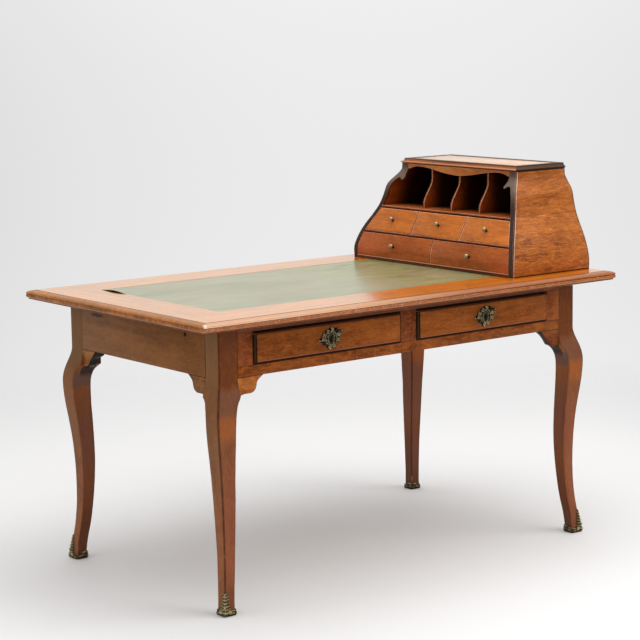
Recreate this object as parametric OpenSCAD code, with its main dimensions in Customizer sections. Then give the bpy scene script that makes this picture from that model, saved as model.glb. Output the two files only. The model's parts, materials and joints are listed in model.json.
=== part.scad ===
// Writing table with a leather top, two apron drawers and a small bombe
// letter case that stands on its right end.
// Millimetres. X runs along the table to the right, Y towards its back, Z up.
// The origin is on the floor under the middle of the table top.

/* [Table] */
// Length of the table top over its moulded edge
desk_length = 1430; // [1250:5:1700]
// Depth of the table top over its moulded edge
desk_depth = 850; // [780:5:1000]
// Height of the writing surface above the floor
desk_height = 760; // [700:1:800]
// Thickness of the table top
top_thickness = 26; // [26:1:40]
// Width of the mitred wooden border round the leather
border_width = 150; // [110:1:170]
// How far the end edges of the top overhang the legs
overhang_end = 95; // [70:1:110]
// How far the long edges of the top overhang the legs
overhang_side = 75; // [50:1:90]

/* [Top construction] */
// Thickness of the ground panel under the leather
core_thickness = 16; // [10:0.5:18]
// Thickness of the leather
leather_thickness = 1.6; // [1:0.1:2]
// How far the leather lies below the wood around it
leather_drop = 0.4; // [0:0.1:1]
// Width of the ledge in the border that carries the ground panel
ledge_width = 14; // [8:1:25]
// Gap between the leather and the wood around it
leather_gap = 0.3; // [0.1:0.1:1]
// Width of the rounded upper edge, seen from above
edge_round = 20; // [12:1:22]
// Depth of the step where the rounded edge begins
edge_step = 0.6; // [0.3:0.1:1.5]
// Drop of the rounded edge, from the top to its arris
edge_drop = 10; // [7:0.5:13]
// How far the nose below the arris curls in, above and below
edge_nose = 6; // [3:0.5:9]
// Height of the fillet under the nose
fillet_height = 4; // [3:0.5:5]

/* [Frame] */
// Height of the aprons, from the top down to their lower edge
apron_height = 134; // [125:1:150]
// Thickness of the aprons
apron_thickness = 22; // [16:1:30]
// Height of the front rail above the drawers
top_rail_height = 21; // [14:1:24]
// Height of the front rail below the drawers
bottom_rail_height = 28; // [20:1:34]
// Depth of the two front rails, front to back
rail_depth = 40; // [30:1:60]
// Width of the stile between the drawers
mid_stile_width = 54; // [40:1:70]
// Width of the stiles between the drawers and the legs
end_stile_width = 47; // [30:1:60]
// Side of the glue blocks under the top
glue_block_side = 24; // [15:1:25]
// Length of the glue blocks under the top
glue_block_length = 80; // [40:5:100]

/* [Legs] */
// Side of the square post at the top of a leg
post_size = 58; // [52:1:70]
// How far the knee and the foot stand out beyond the post
knee_out = 21; // [10:0.5:26]
// How much less the feet stand out than the knees, along the table's length
foot_in = 8.5; // [0:0.5:12]
// Length of the knee brackets along the apron
bracket_length = 79; // [70:1:100]
// Height of the knee brackets below the apron
bracket_drop = 44; // [42:1:55]
// Thickness of the knee brackets
bracket_thickness = 22; // [14:1:22]
// Power of the slanted brackets' slope at the front
slope_front = 1.25; // [1:0.05:1.6]
// Power of the slanted brackets' slope at the back
slope_back = 1.7; // [1:0.05:2.2]
// Wall of the brass shoe round the foot
sabot_wall = 3; // [2:0.5:5]
// Height of the collar of the brass shoe
sabot_collar = 22; // [18:1:32]
// Radius of the round toe at the shoe's outer corner
toe_radius = 8; // [6:0.5:10]
// Height of the leaf that rises from the collar up the outer arris
sabot_leaf = 73; // [50:1:95]
// Thickness of the leaf
leaf_thickness = 2.5; // [1.5:0.5:3]
// Thickness of the shoe under the foot
sabot_sole = 3; // [2:0.5:6]

/* [Apron drawers] */
// Gap between a drawer front and its opening
drawer_gap = 1.5; // [0.8:0.1:2.5]
// Thickness of the drawer front behind its raised field
drawer_front = 20; // [14:1:24]
// How far the raised field stands out from the frame
field_proud = 8; // [3:0.5:12]
// Width of the moulding round the raised field
field_moulding = 7; // [4:0.5:12]
// Thickness of the drawer sides and back
drawer_side = 10; // [8:0.5:14]
// Thickness of the drawer bottom
drawer_bottom = 6; // [4:0.5:9]
// Length of the drawer box behind its front
drawer_depth = 480; // [400:5:520]
// Height of the drawer sides
drawer_wall = 72; // [50:1:74]
// Height of the runners above the lower edge of the opening
runner_rise = 2; // [1:0.5:4]
// Height of a runner
runner_height = 22; // [14:1:28]
// Width of a runner under a drawer side
runner_width = 24; // [16:1:30]
// Height of the guide beside a drawer side
guide_height = 18; // [10:1:30]
// Clearance between a drawer and what carries or guides it
slide_gap = 0.3; // [0.2:0.1:0.5]
// Height of the kickers above the drawer sides
kicker_height = 22; // [16:1:24]

/* [Locks] */
// Width over the points of a keyhole plate
plate_width = 88; // [70:1:100]
// Height over the points of a keyhole plate
plate_height = 66; // [50:1:68]
// Thickness of a keyhole plate
plate_thickness = 2.5; // [1.5:0.5:4]
// Diameter of the keyhole's round part
keyhole_d = 7; // [5:0.5:9]
// Height of the keyhole's slot below its centre
keyhole_slot = 14; // [8:0.5:15]
// Width of the keyhole's slot
keyhole_slot_width = 3.4; // [2:0.2:4]
// Width of a lock
lock_width = 62; // [45:1:80]
// Height of a lock
lock_height = 44; // [34:1:50]
// Thickness of a lock
lock_thickness = 11; // [8:0.5:16]

/* [Letter case] */
// How far the case's back stands in from the end of the table
case_margin = 22; // [6:1:100]
// Distance of the case's middle from the table's middle, towards the back
case_y = 5; // [-60:1:60]
// Width of the case at its foot, along the table's depth
case_width = 694; // [620:1:720]
// Depth of the case at its foot
case_depth = 304; // [280:1:320]
// Height of the case
case_height = 300; // [290:1:330]
// How far each side of the case draws in towards its neck
side_inset = 100; // [60:1:115]
// How far the front of the case draws in towards its neck
front_inset = 109; // [60:1:118]
// Thickness of the case's sides
case_side_t = 16; // [10:0.5:20]
// Thickness of the case's back
case_back_t = 8; // [5:0.5:12]
// Thickness of the case's bottom
case_bottom_t = 10; // [6:0.5:14]
// Thickness of the rail between the two rows of small drawers
case_rail_t = 6.5; // [4:0.5:9]
// Thickness of the shelf above the small drawers
case_shelf_t = 7; // [5:0.5:10]
// Clear height of the lower row of small drawers
lower_row = 69.5; // [50:0.5:74]
// Clear height of the upper row of small drawers
upper_row = 66; // [50:0.5:72]
// Thickness of the upright partitions between small drawers
partition_t = 5; // [3:0.5:8]
// Distance of the upper partitions from the case's middle
partition_y = 106; // [80:1:120]
// Distance between the upright boards of the pigeonholes
divider_pitch = 121; // [90:1:123]
// Thickness of the upright boards of the pigeonholes
divider_t = 5; // [3:0.5:8]
// How far the foot of each upright board stands back from the case's front foot
divider_foot = 84; // [78:1:100]
// How far the head of each upright board stands back from the case's front foot
divider_head = 118; // [110:1:150]
// Height of the upright part of each such board's front edge at its foot
divider_plinth = 12; // [4:1:24]
// Height of the upright part of that edge under the case's top
divider_crown = 38; // [20:1:50]
// Thickness of the dark facing on the front edges of the sides
facing_t = 5; // [3:0.5:8]
// Thickness of the shaped valance under the cornice
valance_t = 7; // [4:0.5:10]
// Drop of the valance at its middle
valance_drop = 24; // [14:1:30]
// How far each hooked ear beside the valance reaches in from the neck
ear_reach = 26; // [18:0.5:36]
// Drop of the hooked ears
ear_drop = 52; // [36:1:60]
// Gap between the valance and each ear
ear_gap = 2; // [1:0.5:8]

/* [Case cornice] */
// Height of the cornice
cornice_height = 16; // [10:1:20]
// How far the cornice's tip stands out from the neck
cornice_out = 4; // [3:0.5:10]
// Width of the hollow between the cornice's tip and its upper arris
cornice_hollow = 9; // [4:0.5:12]
// Width of the cornice's boards, measured in from the neck
cornice_rim = 22; // [17:1:40]
// Height of the flat band at the cornice's tip
cornice_fillet = 2; // [1:0.5:4]
// Height of the small steps beside the cornice's cove and its hollow
cornice_quirk = 1; // [0.5:0.1:2]
// How far the top panel lies below the rim
panel_drop = 0.8; // [0.2:0.1:3]

/* [Small drawers] */
// Gap between a small drawer and its opening
small_gap = 1; // [0.5:0.1:2]
// Thickness of a small drawer's front
small_front = 12; // [8:0.5:16]
// Thickness of a small drawer's sides and back
small_side = 6; // [4:0.5:8]
// Thickness of a small drawer's bottom
small_bottom = 4; // [3:0.5:6]
// How far a small drawer's sides stay below its front
small_step = 11; // [8:1:20]
// Space behind a small drawer's box
small_rear = 6; // [3:1:20]
// Diameter of a small drawer's knob
knob_d = 14; // [10:0.5:18]
// Length of a small drawer's knob
knob_length = 17; // [12:0.5:22]

/* [Hidden] */
$fn = 48;
overshoot = 1;

// Table
half_length = desk_length / 2;
half_depth = desk_depth / 2;
top_underside = desk_height - top_thickness;
leg_height = top_underside - apron_height;
frame_x = half_length - overhang_end;
frame_y = half_depth - overhang_side;
post_x = frame_x - post_size;
post_y = frame_y - post_size;
field_x = half_length - border_width;
field_y = half_depth - border_width;
leather_top = desk_height - leather_drop;
core_top = leather_top - leather_thickness;
core_bottom = core_top - core_thickness;

// Front of the table
opening_low = leg_height + bottom_rail_height;
opening_high = top_underside - top_rail_height;
opening_height = opening_high - opening_low;
opening_in = mid_stile_width / 2;
opening_out = post_x - end_stile_width;
opening_middle = (opening_in + opening_out) / 2;
drawer_width = opening_out - opening_in - 2 * drawer_gap;
drawer_height = opening_height - 2 * drawer_gap;
drawer_back_face = drawer_front - frame_y;
runner_top = opening_low + runner_rise;
box_low = runner_top + slide_gap;
box_in = opening_in + drawer_gap;
box_out = opening_out - drawer_gap;
inner_back = frame_y - apron_thickness;
lock_z = (opening_low + opening_high) / 2;

// Outline of a leg, as shares of its height and of the knee's reach
LEG_OUTSIDE = [[0, 1], [0.085, 0.78], [0.18, 0.43], [0.28, 0.22], [0.42, 0.17], [0.56, 0.33],
    [0.66, 0.60], [0.74, 0.85], [0.80, 0.97], [0.85, 1], [0.885, 0.88], [0.915, 0.65],
    [0.945, 0.36], [0.975, 0.1], [1, 0]];
// The same on the inside, as shares of the post
LEG_INSIDE = [[0, 0.19], [0.085, 0.26], [0.18, 0.415], [0.28, 0.53], [0.37, 0.61], [0.47, 0.665],
    [0.56, 0.67], [0.66, 0.65], [0.75, 0.61], [0.835, 0.60], [0.865, 0.63], [0.88, 0.67],
    [0.895, 0.725], [0.908, 0.81], [0.915, 0.90], [0.92, 1]];
LEG_STEPS = 44;
knee_height = 0.8 * leg_height;
leg_hip = leg_height * LEG_INSIDE[len(LEG_INSIDE) - 1][0];

// Letter case
case_x = half_length - case_margin - case_depth;
neck_height = case_height - cornice_height;
rail_z = case_bottom_t + lower_row;
upper_z = rail_z + case_rail_t;
shelf_z = upper_z + upper_row;
pigeon_z = shelf_z + case_shelf_t;
case_inner_x = case_depth - case_back_t;
// Bombe outline, as shares of the neck's height and of the full inset
BELL = [[0, 0], [0.12, 0], [0.246, 0.095], [0.352, 0.22], [0.458, 0.38], [0.563, 0.52],
    [0.669, 0.61], [0.792, 0.70], [0.88, 0.88], [0.935, 0.985], [0.98, 1], [1, 1]];
BELL_STEPS = 40;
// Outline of the valance's lower edge, as shares of its half length and of its drop
VALANCE = [[0, 1], [0.18, 0.90], [0.37, 0.67], [0.55, 0.40], [0.73, 0.25], [0.87, 0.29], [1, 0.60]];
VALANCE_STEPS = 24;
// Outline of a hooked ear, as shares of its reach in from the neck and of its drop
EAR = [[1, 0], [1, 0.29], [0.885, 0.425], [0.75, 0.56], [0.655, 0.69], [0.75, 0.865], [0.54, 0.895],
    [0.23, 0.8], [0.04, 0.75], [-0.19, 0.845], [-0.345, 1], [-0.615, 1], [0.08, 0.385], [0.08, 0]];
knob_z_lower = case_bottom_t + lower_row / 2;
knob_z_upper = upper_z + upper_row / 2;

DRAWERS = [-1, 1];
CORNERS = [[-1, -1], [1, -1], [-1, 1], [1, 1]];

// ---- Curves ----

// Slope of a curve through the points p at its point i; both ends run level
function knot_slope(p, i) = (i == 0 || i == len(p) - 1) ? 0
    : (p[i + 1][1] - p[i - 1][1]) / (p[i + 1][0] - p[i - 1][0]);

// Index of the stretch of p that holds t
function stretch(p, t, i = 0) = (i >= len(p) - 2 || t <= p[i + 1][0]) ? i : stretch(p, t, i + 1);

// Smooth value at t of a curve through the points p
function smooth(p, t) =
    let (i = stretch(p, t), w = p[i + 1][0] - p[i][0], s = (t - p[i][0]) / w)
    (2 * s ^ 3 - 3 * s ^ 2 + 1) * p[i][1] + (s ^ 3 - 2 * s ^ 2 + s) * w * knot_slope(p, i)
    + (3 * s ^ 2 - 2 * s ^ 3) * p[i + 1][1] + (s ^ 3 - s ^ 2) * w * knot_slope(p, i + 1);

// Points of a quarter or other part of a circle
function arc(cx, cy, r, from, to, n = 8) =
    [for (i = [0 : n]) let (a = from + (to - from) * i / n) [cx + r * cos(a), cy + r * sin(a)]];

function backwards(list) = [for (i = [len(list) - 1 : -1 : 0]) list[i]];

// ---- Placing ----

// A Y-Z outline made solid from x0 to x1
module along_x(x0, x1) {
    translate([x0, 0, 0]) rotate([90, 0, 90]) linear_extrude(x1 - x0) children();
}

// An X-Z outline made solid from y0 to y1
module along_y(y0, y1) {
    translate([0, y1, 0]) rotate([90, 0, 0]) linear_extrude(y1 - y0) children();
}

// An X-Y outline made solid from z0 to z1
module along_z(z0, z1) {
    translate([0, 0, z0]) linear_extrude(z1 - z0) children();
}

module box(low, high) {
    translate(low) cube(high - low);
}

// Turns what is made for the left front corner to the corner at [sx, sy]
module corner(sx, sy) {
    mirror([sx > 0 ? 1 : 0, 0, 0]) mirror([0, sy > 0 ? 1 : 0, 0]) children();
}

// ---- Table top ----

// Section of a border board: u inwards from the outermost line, v up from the top
function border_section() =
    let (low = -top_thickness, ledge = core_bottom - desk_height, drop = edge_drop - edge_step,
        nose_top = -edge_drop - 1, nose_low = low + fillet_height,
        nose_half = (nose_top - nose_low) / (1 + sin(50)))
    concat(
        [[border_width, 0], [edge_round, 0]],
        [for (i = [0 : 10]) let (a = 90 * i / 10)
            [edge_round * (1 - sin(a)), -edge_step - drop * (1 - cos(a))]],
        [for (i = [0 : 8]) let (a = -50 + 140 * i / 8)
            [edge_nose * (1 - cos(a)), nose_low + nose_half * (1 - sin(a))]],
        [[edge_nose, nose_low - 0.5], [edge_nose - 1, nose_low - 0.8], [edge_nose - 1, low + 1.5],
            [edge_nose + 2, low],
            [border_width + ledge_width, low], [border_width + ledge_width, ledge],
            [border_width, ledge]]);

// Plan of a mitred board on the edge y = -half_w of a top that is 2 half_l long
module mitre_plan(half_l, half_w) {
    reach = border_width + ledge_width;
    polygon([[-half_l, -half_w], [half_l, -half_w], [half_l - reach, reach - half_w],
        [reach - half_l, reach - half_w]]);
}

// A mitred border board on the edge y = -half_w
module border_board(half_l, half_w) {
    color("peru") intersection() {
        along_z(top_underside - overshoot, desk_height + overshoot) mitre_plan(half_l, half_w);
        along_x(-half_l, half_l) polygon([for (p = border_section()) [p[0] - half_w, p[1] + desk_height]]);
    }
}

module top_front_border() {
    border_board(half_length, half_depth);
}

module top_back_border() {
    rotate([0, 0, 180]) border_board(half_length, half_depth);
}

module top_left_border() {
    rotate([0, 0, -90]) border_board(half_depth, half_length);
}

module top_right_border() {
    rotate([0, 0, 90]) border_board(half_depth, half_length);
}

module top_core() {
    color("burlywood") box([-field_x, -field_y, core_bottom], [field_x, field_y, core_top]);
}

module writing_leather() {
    reach = [field_x - leather_gap, field_y - leather_gap];
    color("darkseagreen") box([-reach[0], -reach[1], core_top], [reach[0], reach[1], leather_top]);
}

// ---- Legs ----

function leg_out(z) = knee_out * smooth(LEG_OUTSIDE, z / leg_height);
function leg_in(z) = post_size * smooth(LEG_INSIDE, z / leg_height);

// How far a leg that stands in by foot_set at the floor stands in at height z
function leg_set(z, foot_set) = foot_set * max(0, 1 - z / knee_height);

// Outline of a leg in one view, from the post's outer face at 0 inwards,
// grown outwards by grow between z0 and z1
function leg_outline(z0, z1, grow, foot_set) =
    let (steps = [for (i = [0 : LEG_STEPS]) z0 + (z1 - z0) * i / LEG_STEPS])
    concat([for (z = steps) [leg_set(z, foot_set) - leg_out(z) - grow, z]],
        backwards([for (z = steps)
            [leg_set(z, foot_set) + min(leg_in(min(z, leg_hip)), post_size) + grow, z]]));

// Square leg sawn to the same outline in both views, for the left front corner
module cabriole(z0, z1, grow = 0) {
    reach = post_size + knee_out + grow;
    intersection() {
        along_y(-frame_y - reach, reach - frame_y) translate([-frame_x, 0])
            polygon(leg_outline(z0, z1, grow, foot_in));
        along_x(-frame_x - reach, reach - frame_x) translate([-frame_y, 0])
            polygon(leg_outline(z0, z1, grow, 0));
    }
}

module leg(sx, sy) {
    color("saddlebrown") corner(sx, sy) union() {
        cabriole(sabot_sole, leg_height);
        box([-frame_x, -frame_y, leg_height], [-post_x, -post_y, top_underside]);
    }
}

// Upright outline of the leaf: half its width, and its height
module leaf_outline() {
    half = knee_out + sabot_wall;
    right = [[half * 0.55, 0], [half * 0.5, sabot_collar], [half * 0.42, (sabot_collar + sabot_leaf) / 2],
        [half * 0.2, sabot_leaf * 0.9]];
    polygon(concat(right, [[0, sabot_leaf]], backwards([for (p = right) [-p[0], p[1]]])));
}

// Brass shoe: a collar round the foot, a leaf up its outer arris and a round toe below
module sabot(sx, sy) {
    toe_x = foot_in - frame_x - knee_out;
    toe_y = -frame_y - knee_out;
    toe_height = sabot_collar * 0.8;
    color("darkgoldenrod") corner(sx, sy) difference() {
        union() {
            cabriole(0, sabot_collar, sabot_wall);
            intersection() {
                cabriole(sabot_collar - overshoot, sabot_leaf, leaf_thickness);
                translate([toe_x + knee_out, toe_y + knee_out, 0]) rotate([0, 0, 45])
                    along_x(-3 * knee_out, 0) leaf_outline();
            }
            translate([toe_x, toe_y, 0]) rotate_extrude() polygon(concat([[0, 0], [toe_radius - 1, 0]],
                [for (i = [0 : 6]) let (a = 90 * i / 6)
                    [toe_radius * cos(a), toe_height * (0.4 + 0.6 * sin(a))]]));
        }
        cabriole(sabot_sole, leg_height);
    }
}

// Outline of a knee bracket: u along the apron from the post, v down from the apron.
// It starts with a hollow that carries on the leg's inner curve.
function bracket_start() =
    let (hollow = bracket_length * 0.21, flat = -bracket_drop, hip = leg_hip - leg_height)
    concat([[0, 0], [0, hip]],
        [for (i = [1 : 6]) let (a = 90 * i / 6)
            [hollow * (1 - cos(a)), hip + (flat - hip) * sin(a)]]);

// End of the stepped pattern: a rounded nose, a short upright and a cove
function stepped_end() =
    let (cove = bracket_length * 0.28, nose = bracket_length * 0.13)
    concat(arc(bracket_length - cove - nose, nose - bracket_drop, nose, 270, 360, 6),
        arc(bracket_length, -cove, cove, 180, 90, 8));

// End of the slanted pattern: one long slope, the hollower the larger its power
function slanted_end(power) =
    let (foot = bracket_length * 0.4)
    [for (i = [0 : 8]) let (t = i / 8)
        [foot + (bracket_length - foot) * t, -bracket_drop * (1 - t) ^ power]];

// A bracket against the left front leg, under the front apron
module front_bracket(end) {
    along_y(-frame_y, bracket_thickness - frame_y) translate([-post_x, leg_height])
        polygon(concat(bracket_start(), end));
}

// A bracket against the left front leg, under the end apron
module end_bracket(end) {
    along_x(-frame_x, bracket_thickness - frame_x) translate([-post_y, leg_height])
        polygon(concat(bracket_start(), end));
}

// The brackets of the left front leg are stepped and the others slanted; the back has none
module knee_brackets() {
    color("sienna") for (c = CORNERS) {
        end = c == [-1, -1] ? stepped_end() : slanted_end(c[1] < 0 ? slope_front : slope_back);
        corner(c[0], c[1]) end_bracket(end);
        if (c[1] < 0) corner(c[0], c[1]) front_bracket(end);
    }
}

// ---- Frame ----

module apron_end(side) {
    color("sienna") mirror([side > 0 ? 1 : 0, 0, 0])
        box([-frame_x, -post_y, leg_height], [apron_thickness - frame_x, post_y, top_underside]);
}

module apron_back() {
    color("sienna") box([-post_x, inner_back, leg_height], [post_x, frame_y, top_underside]);
}

module front_top_rail() {
    color("sienna") box([-post_x, -frame_y, opening_high], [post_x, rail_depth - frame_y, top_underside]);
}

module front_bottom_rail() {
    color("sienna") box([-post_x, -frame_y, leg_height], [post_x, rail_depth - frame_y, opening_low]);
}

module front_stiles() {
    color("sienna") {
        box([-opening_in, -frame_y, opening_low], [opening_in, apron_thickness - frame_y, opening_high]);
        for (side = DRAWERS) mirror([side > 0 ? 1 : 0, 0, 0])
            box([-post_x, -frame_y, opening_low], [-opening_out, apron_thickness - frame_y, opening_high]);
    }
}

// Section of the bearer between the drawers, and of the one beside an outer side
module middle_bearer() {
    guide = box_in - slide_gap;
    polygon([[-box_in - runner_width, runner_top - runner_height], [box_in + runner_width, runner_top - runner_height],
        [box_in + runner_width, runner_top], [guide, runner_top], [guide, runner_top + guide_height],
        [-guide, runner_top + guide_height], [-guide, runner_top], [-box_in - runner_width, runner_top]]);
}

module outer_bearer() {
    guide = box_out + slide_gap;
    wide = guide + runner_width / 2;
    polygon([[box_out - runner_width, runner_top - runner_height], [wide, runner_top - runner_height],
        [wide, runner_top + guide_height], [guide, runner_top + guide_height],
        [guide, runner_top], [box_out - runner_width, runner_top]]);
}

module drawer_runners() {
    kicker_low = top_underside - kicker_height;
    back_of_rail = rail_depth - frame_y;
    color("burlywood") rotate([90, 0, 0]) mirror([0, 0, 1]) translate([0, 0, back_of_rail])
        linear_extrude(inner_back - back_of_rail) {
            middle_bearer();
            outer_bearer();
            mirror([1, 0]) outer_bearer();
            translate([-box_in - runner_width, kicker_low])
                square([2 * (box_in + runner_width), kicker_height]);
            for (side = DRAWERS) translate([side * (box_out - runner_width / 2) - runner_width / 2, kicker_low])
                square([runner_width, kicker_height]);
        }
}

module glue_blocks() {
    low = top_underside - glue_block_side;
    end_face = frame_x - apron_thickness;
    end_step = post_y / 2;
    back_step = opening_middle;
    color("burlywood") for (side = DRAWERS) {
        for (y = [-end_step, end_step]) mirror([side > 0 ? 1 : 0, 0, 0])
            box([-end_face, y - glue_block_length / 2, low],
                [glue_block_side - end_face, y + glue_block_length / 2, top_underside]);
        box([side * back_step - glue_block_length / 2, inner_back - glue_block_side, low],
            [side * back_step + glue_block_length / 2, inner_back, top_underside]);
    }
}

// ---- Apron drawers ----

// Outline of a drawer front in one view: half its size across, and its depth
module front_section(half) {
    field = half - field_moulding;
    step = (field_moulding - 2) / 4;
    polygon([[-half, 0], [-half, drawer_front], [-field - 4 * step, drawer_front],
        for (i = [0 : 4]) [-field - step * (4 - i), drawer_front + field_proud * sin(90 * i / 4)],
        for (i = [0 : 4]) [field + step * i, drawer_front + field_proud * cos(90 * i / 4)],
        [half, drawer_front], [half, 0]]);
}

module keyhole(y0, y1) {
    along_y(y0, y1) {
        translate([0, lock_z]) circle(d = keyhole_d);
        translate([-keyhole_slot_width / 2, lock_z - keyhole_slot])
            square([keyhole_slot_width, keyhole_slot]);
    }
}

// Places what is made for a drawer centred on x = 0 in its opening
module at_drawer(side) {
    translate([side * opening_middle, 0, 0]) children();
}

module drawer_face(side) {
    face = -frame_y - field_proud;
    color("chocolate") at_drawer(side) difference() {
        intersection() {
            translate([0, drawer_back_face, opening_low + drawer_gap]) mirror([0, 1, 0])
                linear_extrude(drawer_height) front_section(drawer_width / 2);
            along_x(-drawer_width, drawer_width) translate([drawer_back_face, lock_z])
                rotate(90) front_section(drawer_height / 2);
        }
        keyhole(face - overshoot, drawer_back_face + overshoot);
    }
}

module drawer_box(side) {
    half = drawer_width / 2;
    rear = drawer_back_face + drawer_depth;
    color("wheat") at_drawer(side) difference() {
        box([-half, drawer_back_face, box_low], [half, rear, box_low + drawer_wall]);
        box([drawer_side - half, drawer_back_face - overshoot, box_low - overshoot],
            [half - drawer_side, rear - drawer_side, box_low + drawer_wall + overshoot]);
    }
}

module drawer_bottom_board(side) {
    half = drawer_width / 2 - drawer_side;
    color("wheat") at_drawer(side)
        box([-half, drawer_back_face, box_low + runner_rise],
            [half, drawer_back_face + drawer_depth - drawer_side, box_low + runner_rise + drawer_bottom]);
}

module drawer_lock(side) {
    color("goldenrod") at_drawer(side) difference() {
        box([-lock_width / 2, drawer_back_face, lock_z - lock_height / 2],
            [lock_width / 2, drawer_back_face + lock_thickness, lock_z + lock_height / 2]);
        keyhole(drawer_back_face - overshoot, drawer_back_face + lock_thickness * 0.7);
    }
}

// Four-pointed plate with a rippled edge
function plate_reach(a) = 0.78 + 0.22 * cos(4 * a) ^ 3 + 0.035 * cos(20 * a);

module drawer_escutcheon(side) {
    face = -frame_y - field_proud;
    color("olive") at_drawer(side) difference() {
        along_y(face - plate_thickness, face) translate([0, lock_z]) polygon([for (a = [0 : 5 : 355])
            [plate_width / 2 * plate_reach(a) * cos(a), plate_height / 2 * plate_reach(a) * sin(a)]]);
        keyhole(face - plate_thickness - overshoot, face + overshoot);
    }
}

// ---- Letter case ----
// Its modules use the case's own frame: x = 0 at its front foot, y = 0 at its middle,
// z = 0 on the table. "Left" and "right" are as seen from its front.

module on_desk() {
    translate([case_x, case_y, desk_height]) children();
}

BELL_HEIGHTS = [for (i = [0 : BELL_STEPS]) neck_height * i / BELL_STEPS];
BELL_LINE = [for (h = BELL_HEIGHTS) [h, smooth(BELL, h / neck_height)]];
function bell(h) = lookup(h, BELL_LINE);
function front_at(h) = front_inset * bell(h);
function side_at(h) = case_width / 2 - side_inset * bell(h);
neck_half = side_at(neck_height);
valance_half = neck_half - ear_reach - ear_gap;

// Everything between the inner faces of the two sides, less a gap on each
module cavity(x0, x1, gap = 0) {
    half = [for (h = BELL_HEIGHTS) [side_at(h) - case_side_t - gap, h]];
    along_x(x0, x1) polygon(concat(half, backwards([for (p = half) [-p[0], p[1]]])));
}

// Everything between two surfaces that follow the bombe front
module front_layer(near, far) {
    along_y(-case_width, case_width) polygon(concat(
        [for (h = BELL_HEIGHTS) [front_at(h) + near, h]],
        backwards([for (h = BELL_HEIGHTS) [front_at(h) + far, h]])));
}

// Everything behind the bombe front, up to the case's back board
module behind_front(near) {
    along_y(-case_width, case_width) polygon(concat(
        [for (h = BELL_HEIGHTS) [front_at(h) + near, h]],
        [[case_inner_x, neck_height], [case_inner_x, 0]]));
}

// Section of the left side, seen from the front
module side_band() {
    polygon(concat([for (h = BELL_HEIGHTS) [side_at(h), h]],
        backwards([for (h = BELL_HEIGHTS) [side_at(h) - case_side_t, h]])));
}

module case_side(turn) {
    color("peru") on_desk() mirror([0, turn, 0]) intersection() {
        along_x(0, case_depth) side_band();
        along_y(0, case_width) polygon(concat([for (h = BELL_HEIGHTS) [front_at(h) + facing_t, h]],
            [[case_depth, neck_height], [case_depth, 0]]));
    }
}

// Dark strips on the front edges of the sides, each with its hooked ear
module case_facings() {
    color("saddlebrown") on_desk() for (turn = [0, 1]) mirror([0, turn, 0]) intersection() {
        along_x(0, case_depth) {
            side_band();
            polygon([for (p = EAR) [neck_half - ear_reach * p[0], neck_height - ear_drop * p[1]]]);
        }
        front_layer(0, facing_t);
    }
}

module case_back() {
    color("peru") on_desk() cavity(case_inner_x, case_depth);
}

// A level board between the sides
module case_board(z0, z1) {
    color("peru") on_desk() intersection() {
        cavity(0, case_inner_x);
        behind_front(0);
        box([0, -case_width / 2, z0], [case_depth, case_width / 2, z1]);
    }
}

// Upright boards between the small drawers
module case_partitions() {
    color("peru") on_desk() intersection() {
        behind_front(0);
        union() {
            box([0, -partition_t / 2, case_bottom_t], [case_depth, partition_t / 2, rail_z]);
            for (y = [-partition_y, partition_y])
                box([0, y - partition_t / 2, upper_z], [case_depth, y + partition_t / 2, shelf_z]);
        }
    }
}

// Upright boards between the pigeonholes, with a swept front edge
module case_dividers() {
    sweep_low = pigeon_z + divider_plinth;
    sweep_high = neck_height - divider_crown;
    rise = [for (i = [0 : 12]) let (s = i / 12)
        [divider_foot + (divider_head - divider_foot) * (3 * s ^ 2 - 2 * s ^ 3),
            sweep_low + (sweep_high - sweep_low) * s]];
    color("peru") on_desk() for (i = [-1 : 1])
        along_y(i * divider_pitch - divider_t / 2, i * divider_pitch + divider_t / 2)
            polygon(concat([[divider_foot, pigeon_z]], rise,
                [[divider_head, neck_height], [case_inner_x, neck_height], [case_inner_x, pigeon_z]]));
}

module case_valance() {
    steps = [for (i = [-VALANCE_STEPS : VALANCE_STEPS]) i / VALANCE_STEPS];
    color("chocolate") on_desk() along_x(front_inset, front_inset + valance_t)
        polygon(concat([for (s = steps) [s * valance_half, neck_height - valance_drop * smooth(VALANCE, abs(s))]],
            [[valance_half, neck_height], [-valance_half, neck_height]]));
}

// Outline of the cornice's moulding: outwards from the neck, and up from it
function cornice_edge() =
    let (tip = cornice_height * 0.3, cove = cornice_out * 0.6,
        hollow_low = tip + cornice_fillet, hollow_high = cornice_height - cornice_quirk)
    concat([[0, 0]],
        [for (i = [1 : 5]) let (a = 90 * i / 5) [cove * (1 - cos(a)), (tip - cornice_quirk) * sin(a)]],
        [[cornice_out, tip], [cornice_out, hollow_low]],
        [for (i = [1 : 8]) let (a = 90 * i / 8)
            [cornice_out - cornice_hollow * sin(a),
                hollow_high - (hollow_high - hollow_low) * cos(a)]],
        [[cornice_out - cornice_hollow, cornice_height]]);

// Rim round the top: moulded on the front and the sides, plain at the back
module case_cornice() {
    edge = cornice_edge();
    reach = neck_half + cornice_out;
    inside = neck_half - cornice_rim;
    color("saddlebrown") on_desk() translate([0, 0, neck_height]) difference() {
        intersection() {
            along_y(-reach, reach) polygon(concat([for (p = edge) [front_inset - p[0], p[1]]],
                [[case_depth, cornice_height], [case_depth, 0]]));
            along_x(0, case_depth) polygon(concat([for (p = edge) [neck_half + p[0], p[1]]],
                backwards([for (p = edge) [-neck_half - p[0], p[1]]])));
        }
        box([front_inset + cornice_rim, -inside, -overshoot],
            [case_depth - cornice_rim, inside, cornice_height + overshoot]);
    }
}

module case_top() {
    half = neck_half - cornice_rim;
    color("rosybrown") on_desk() box([front_inset + cornice_rim, -half, neck_height],
        [case_depth - cornice_rim, half, case_height - panel_drop]);
}

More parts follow.
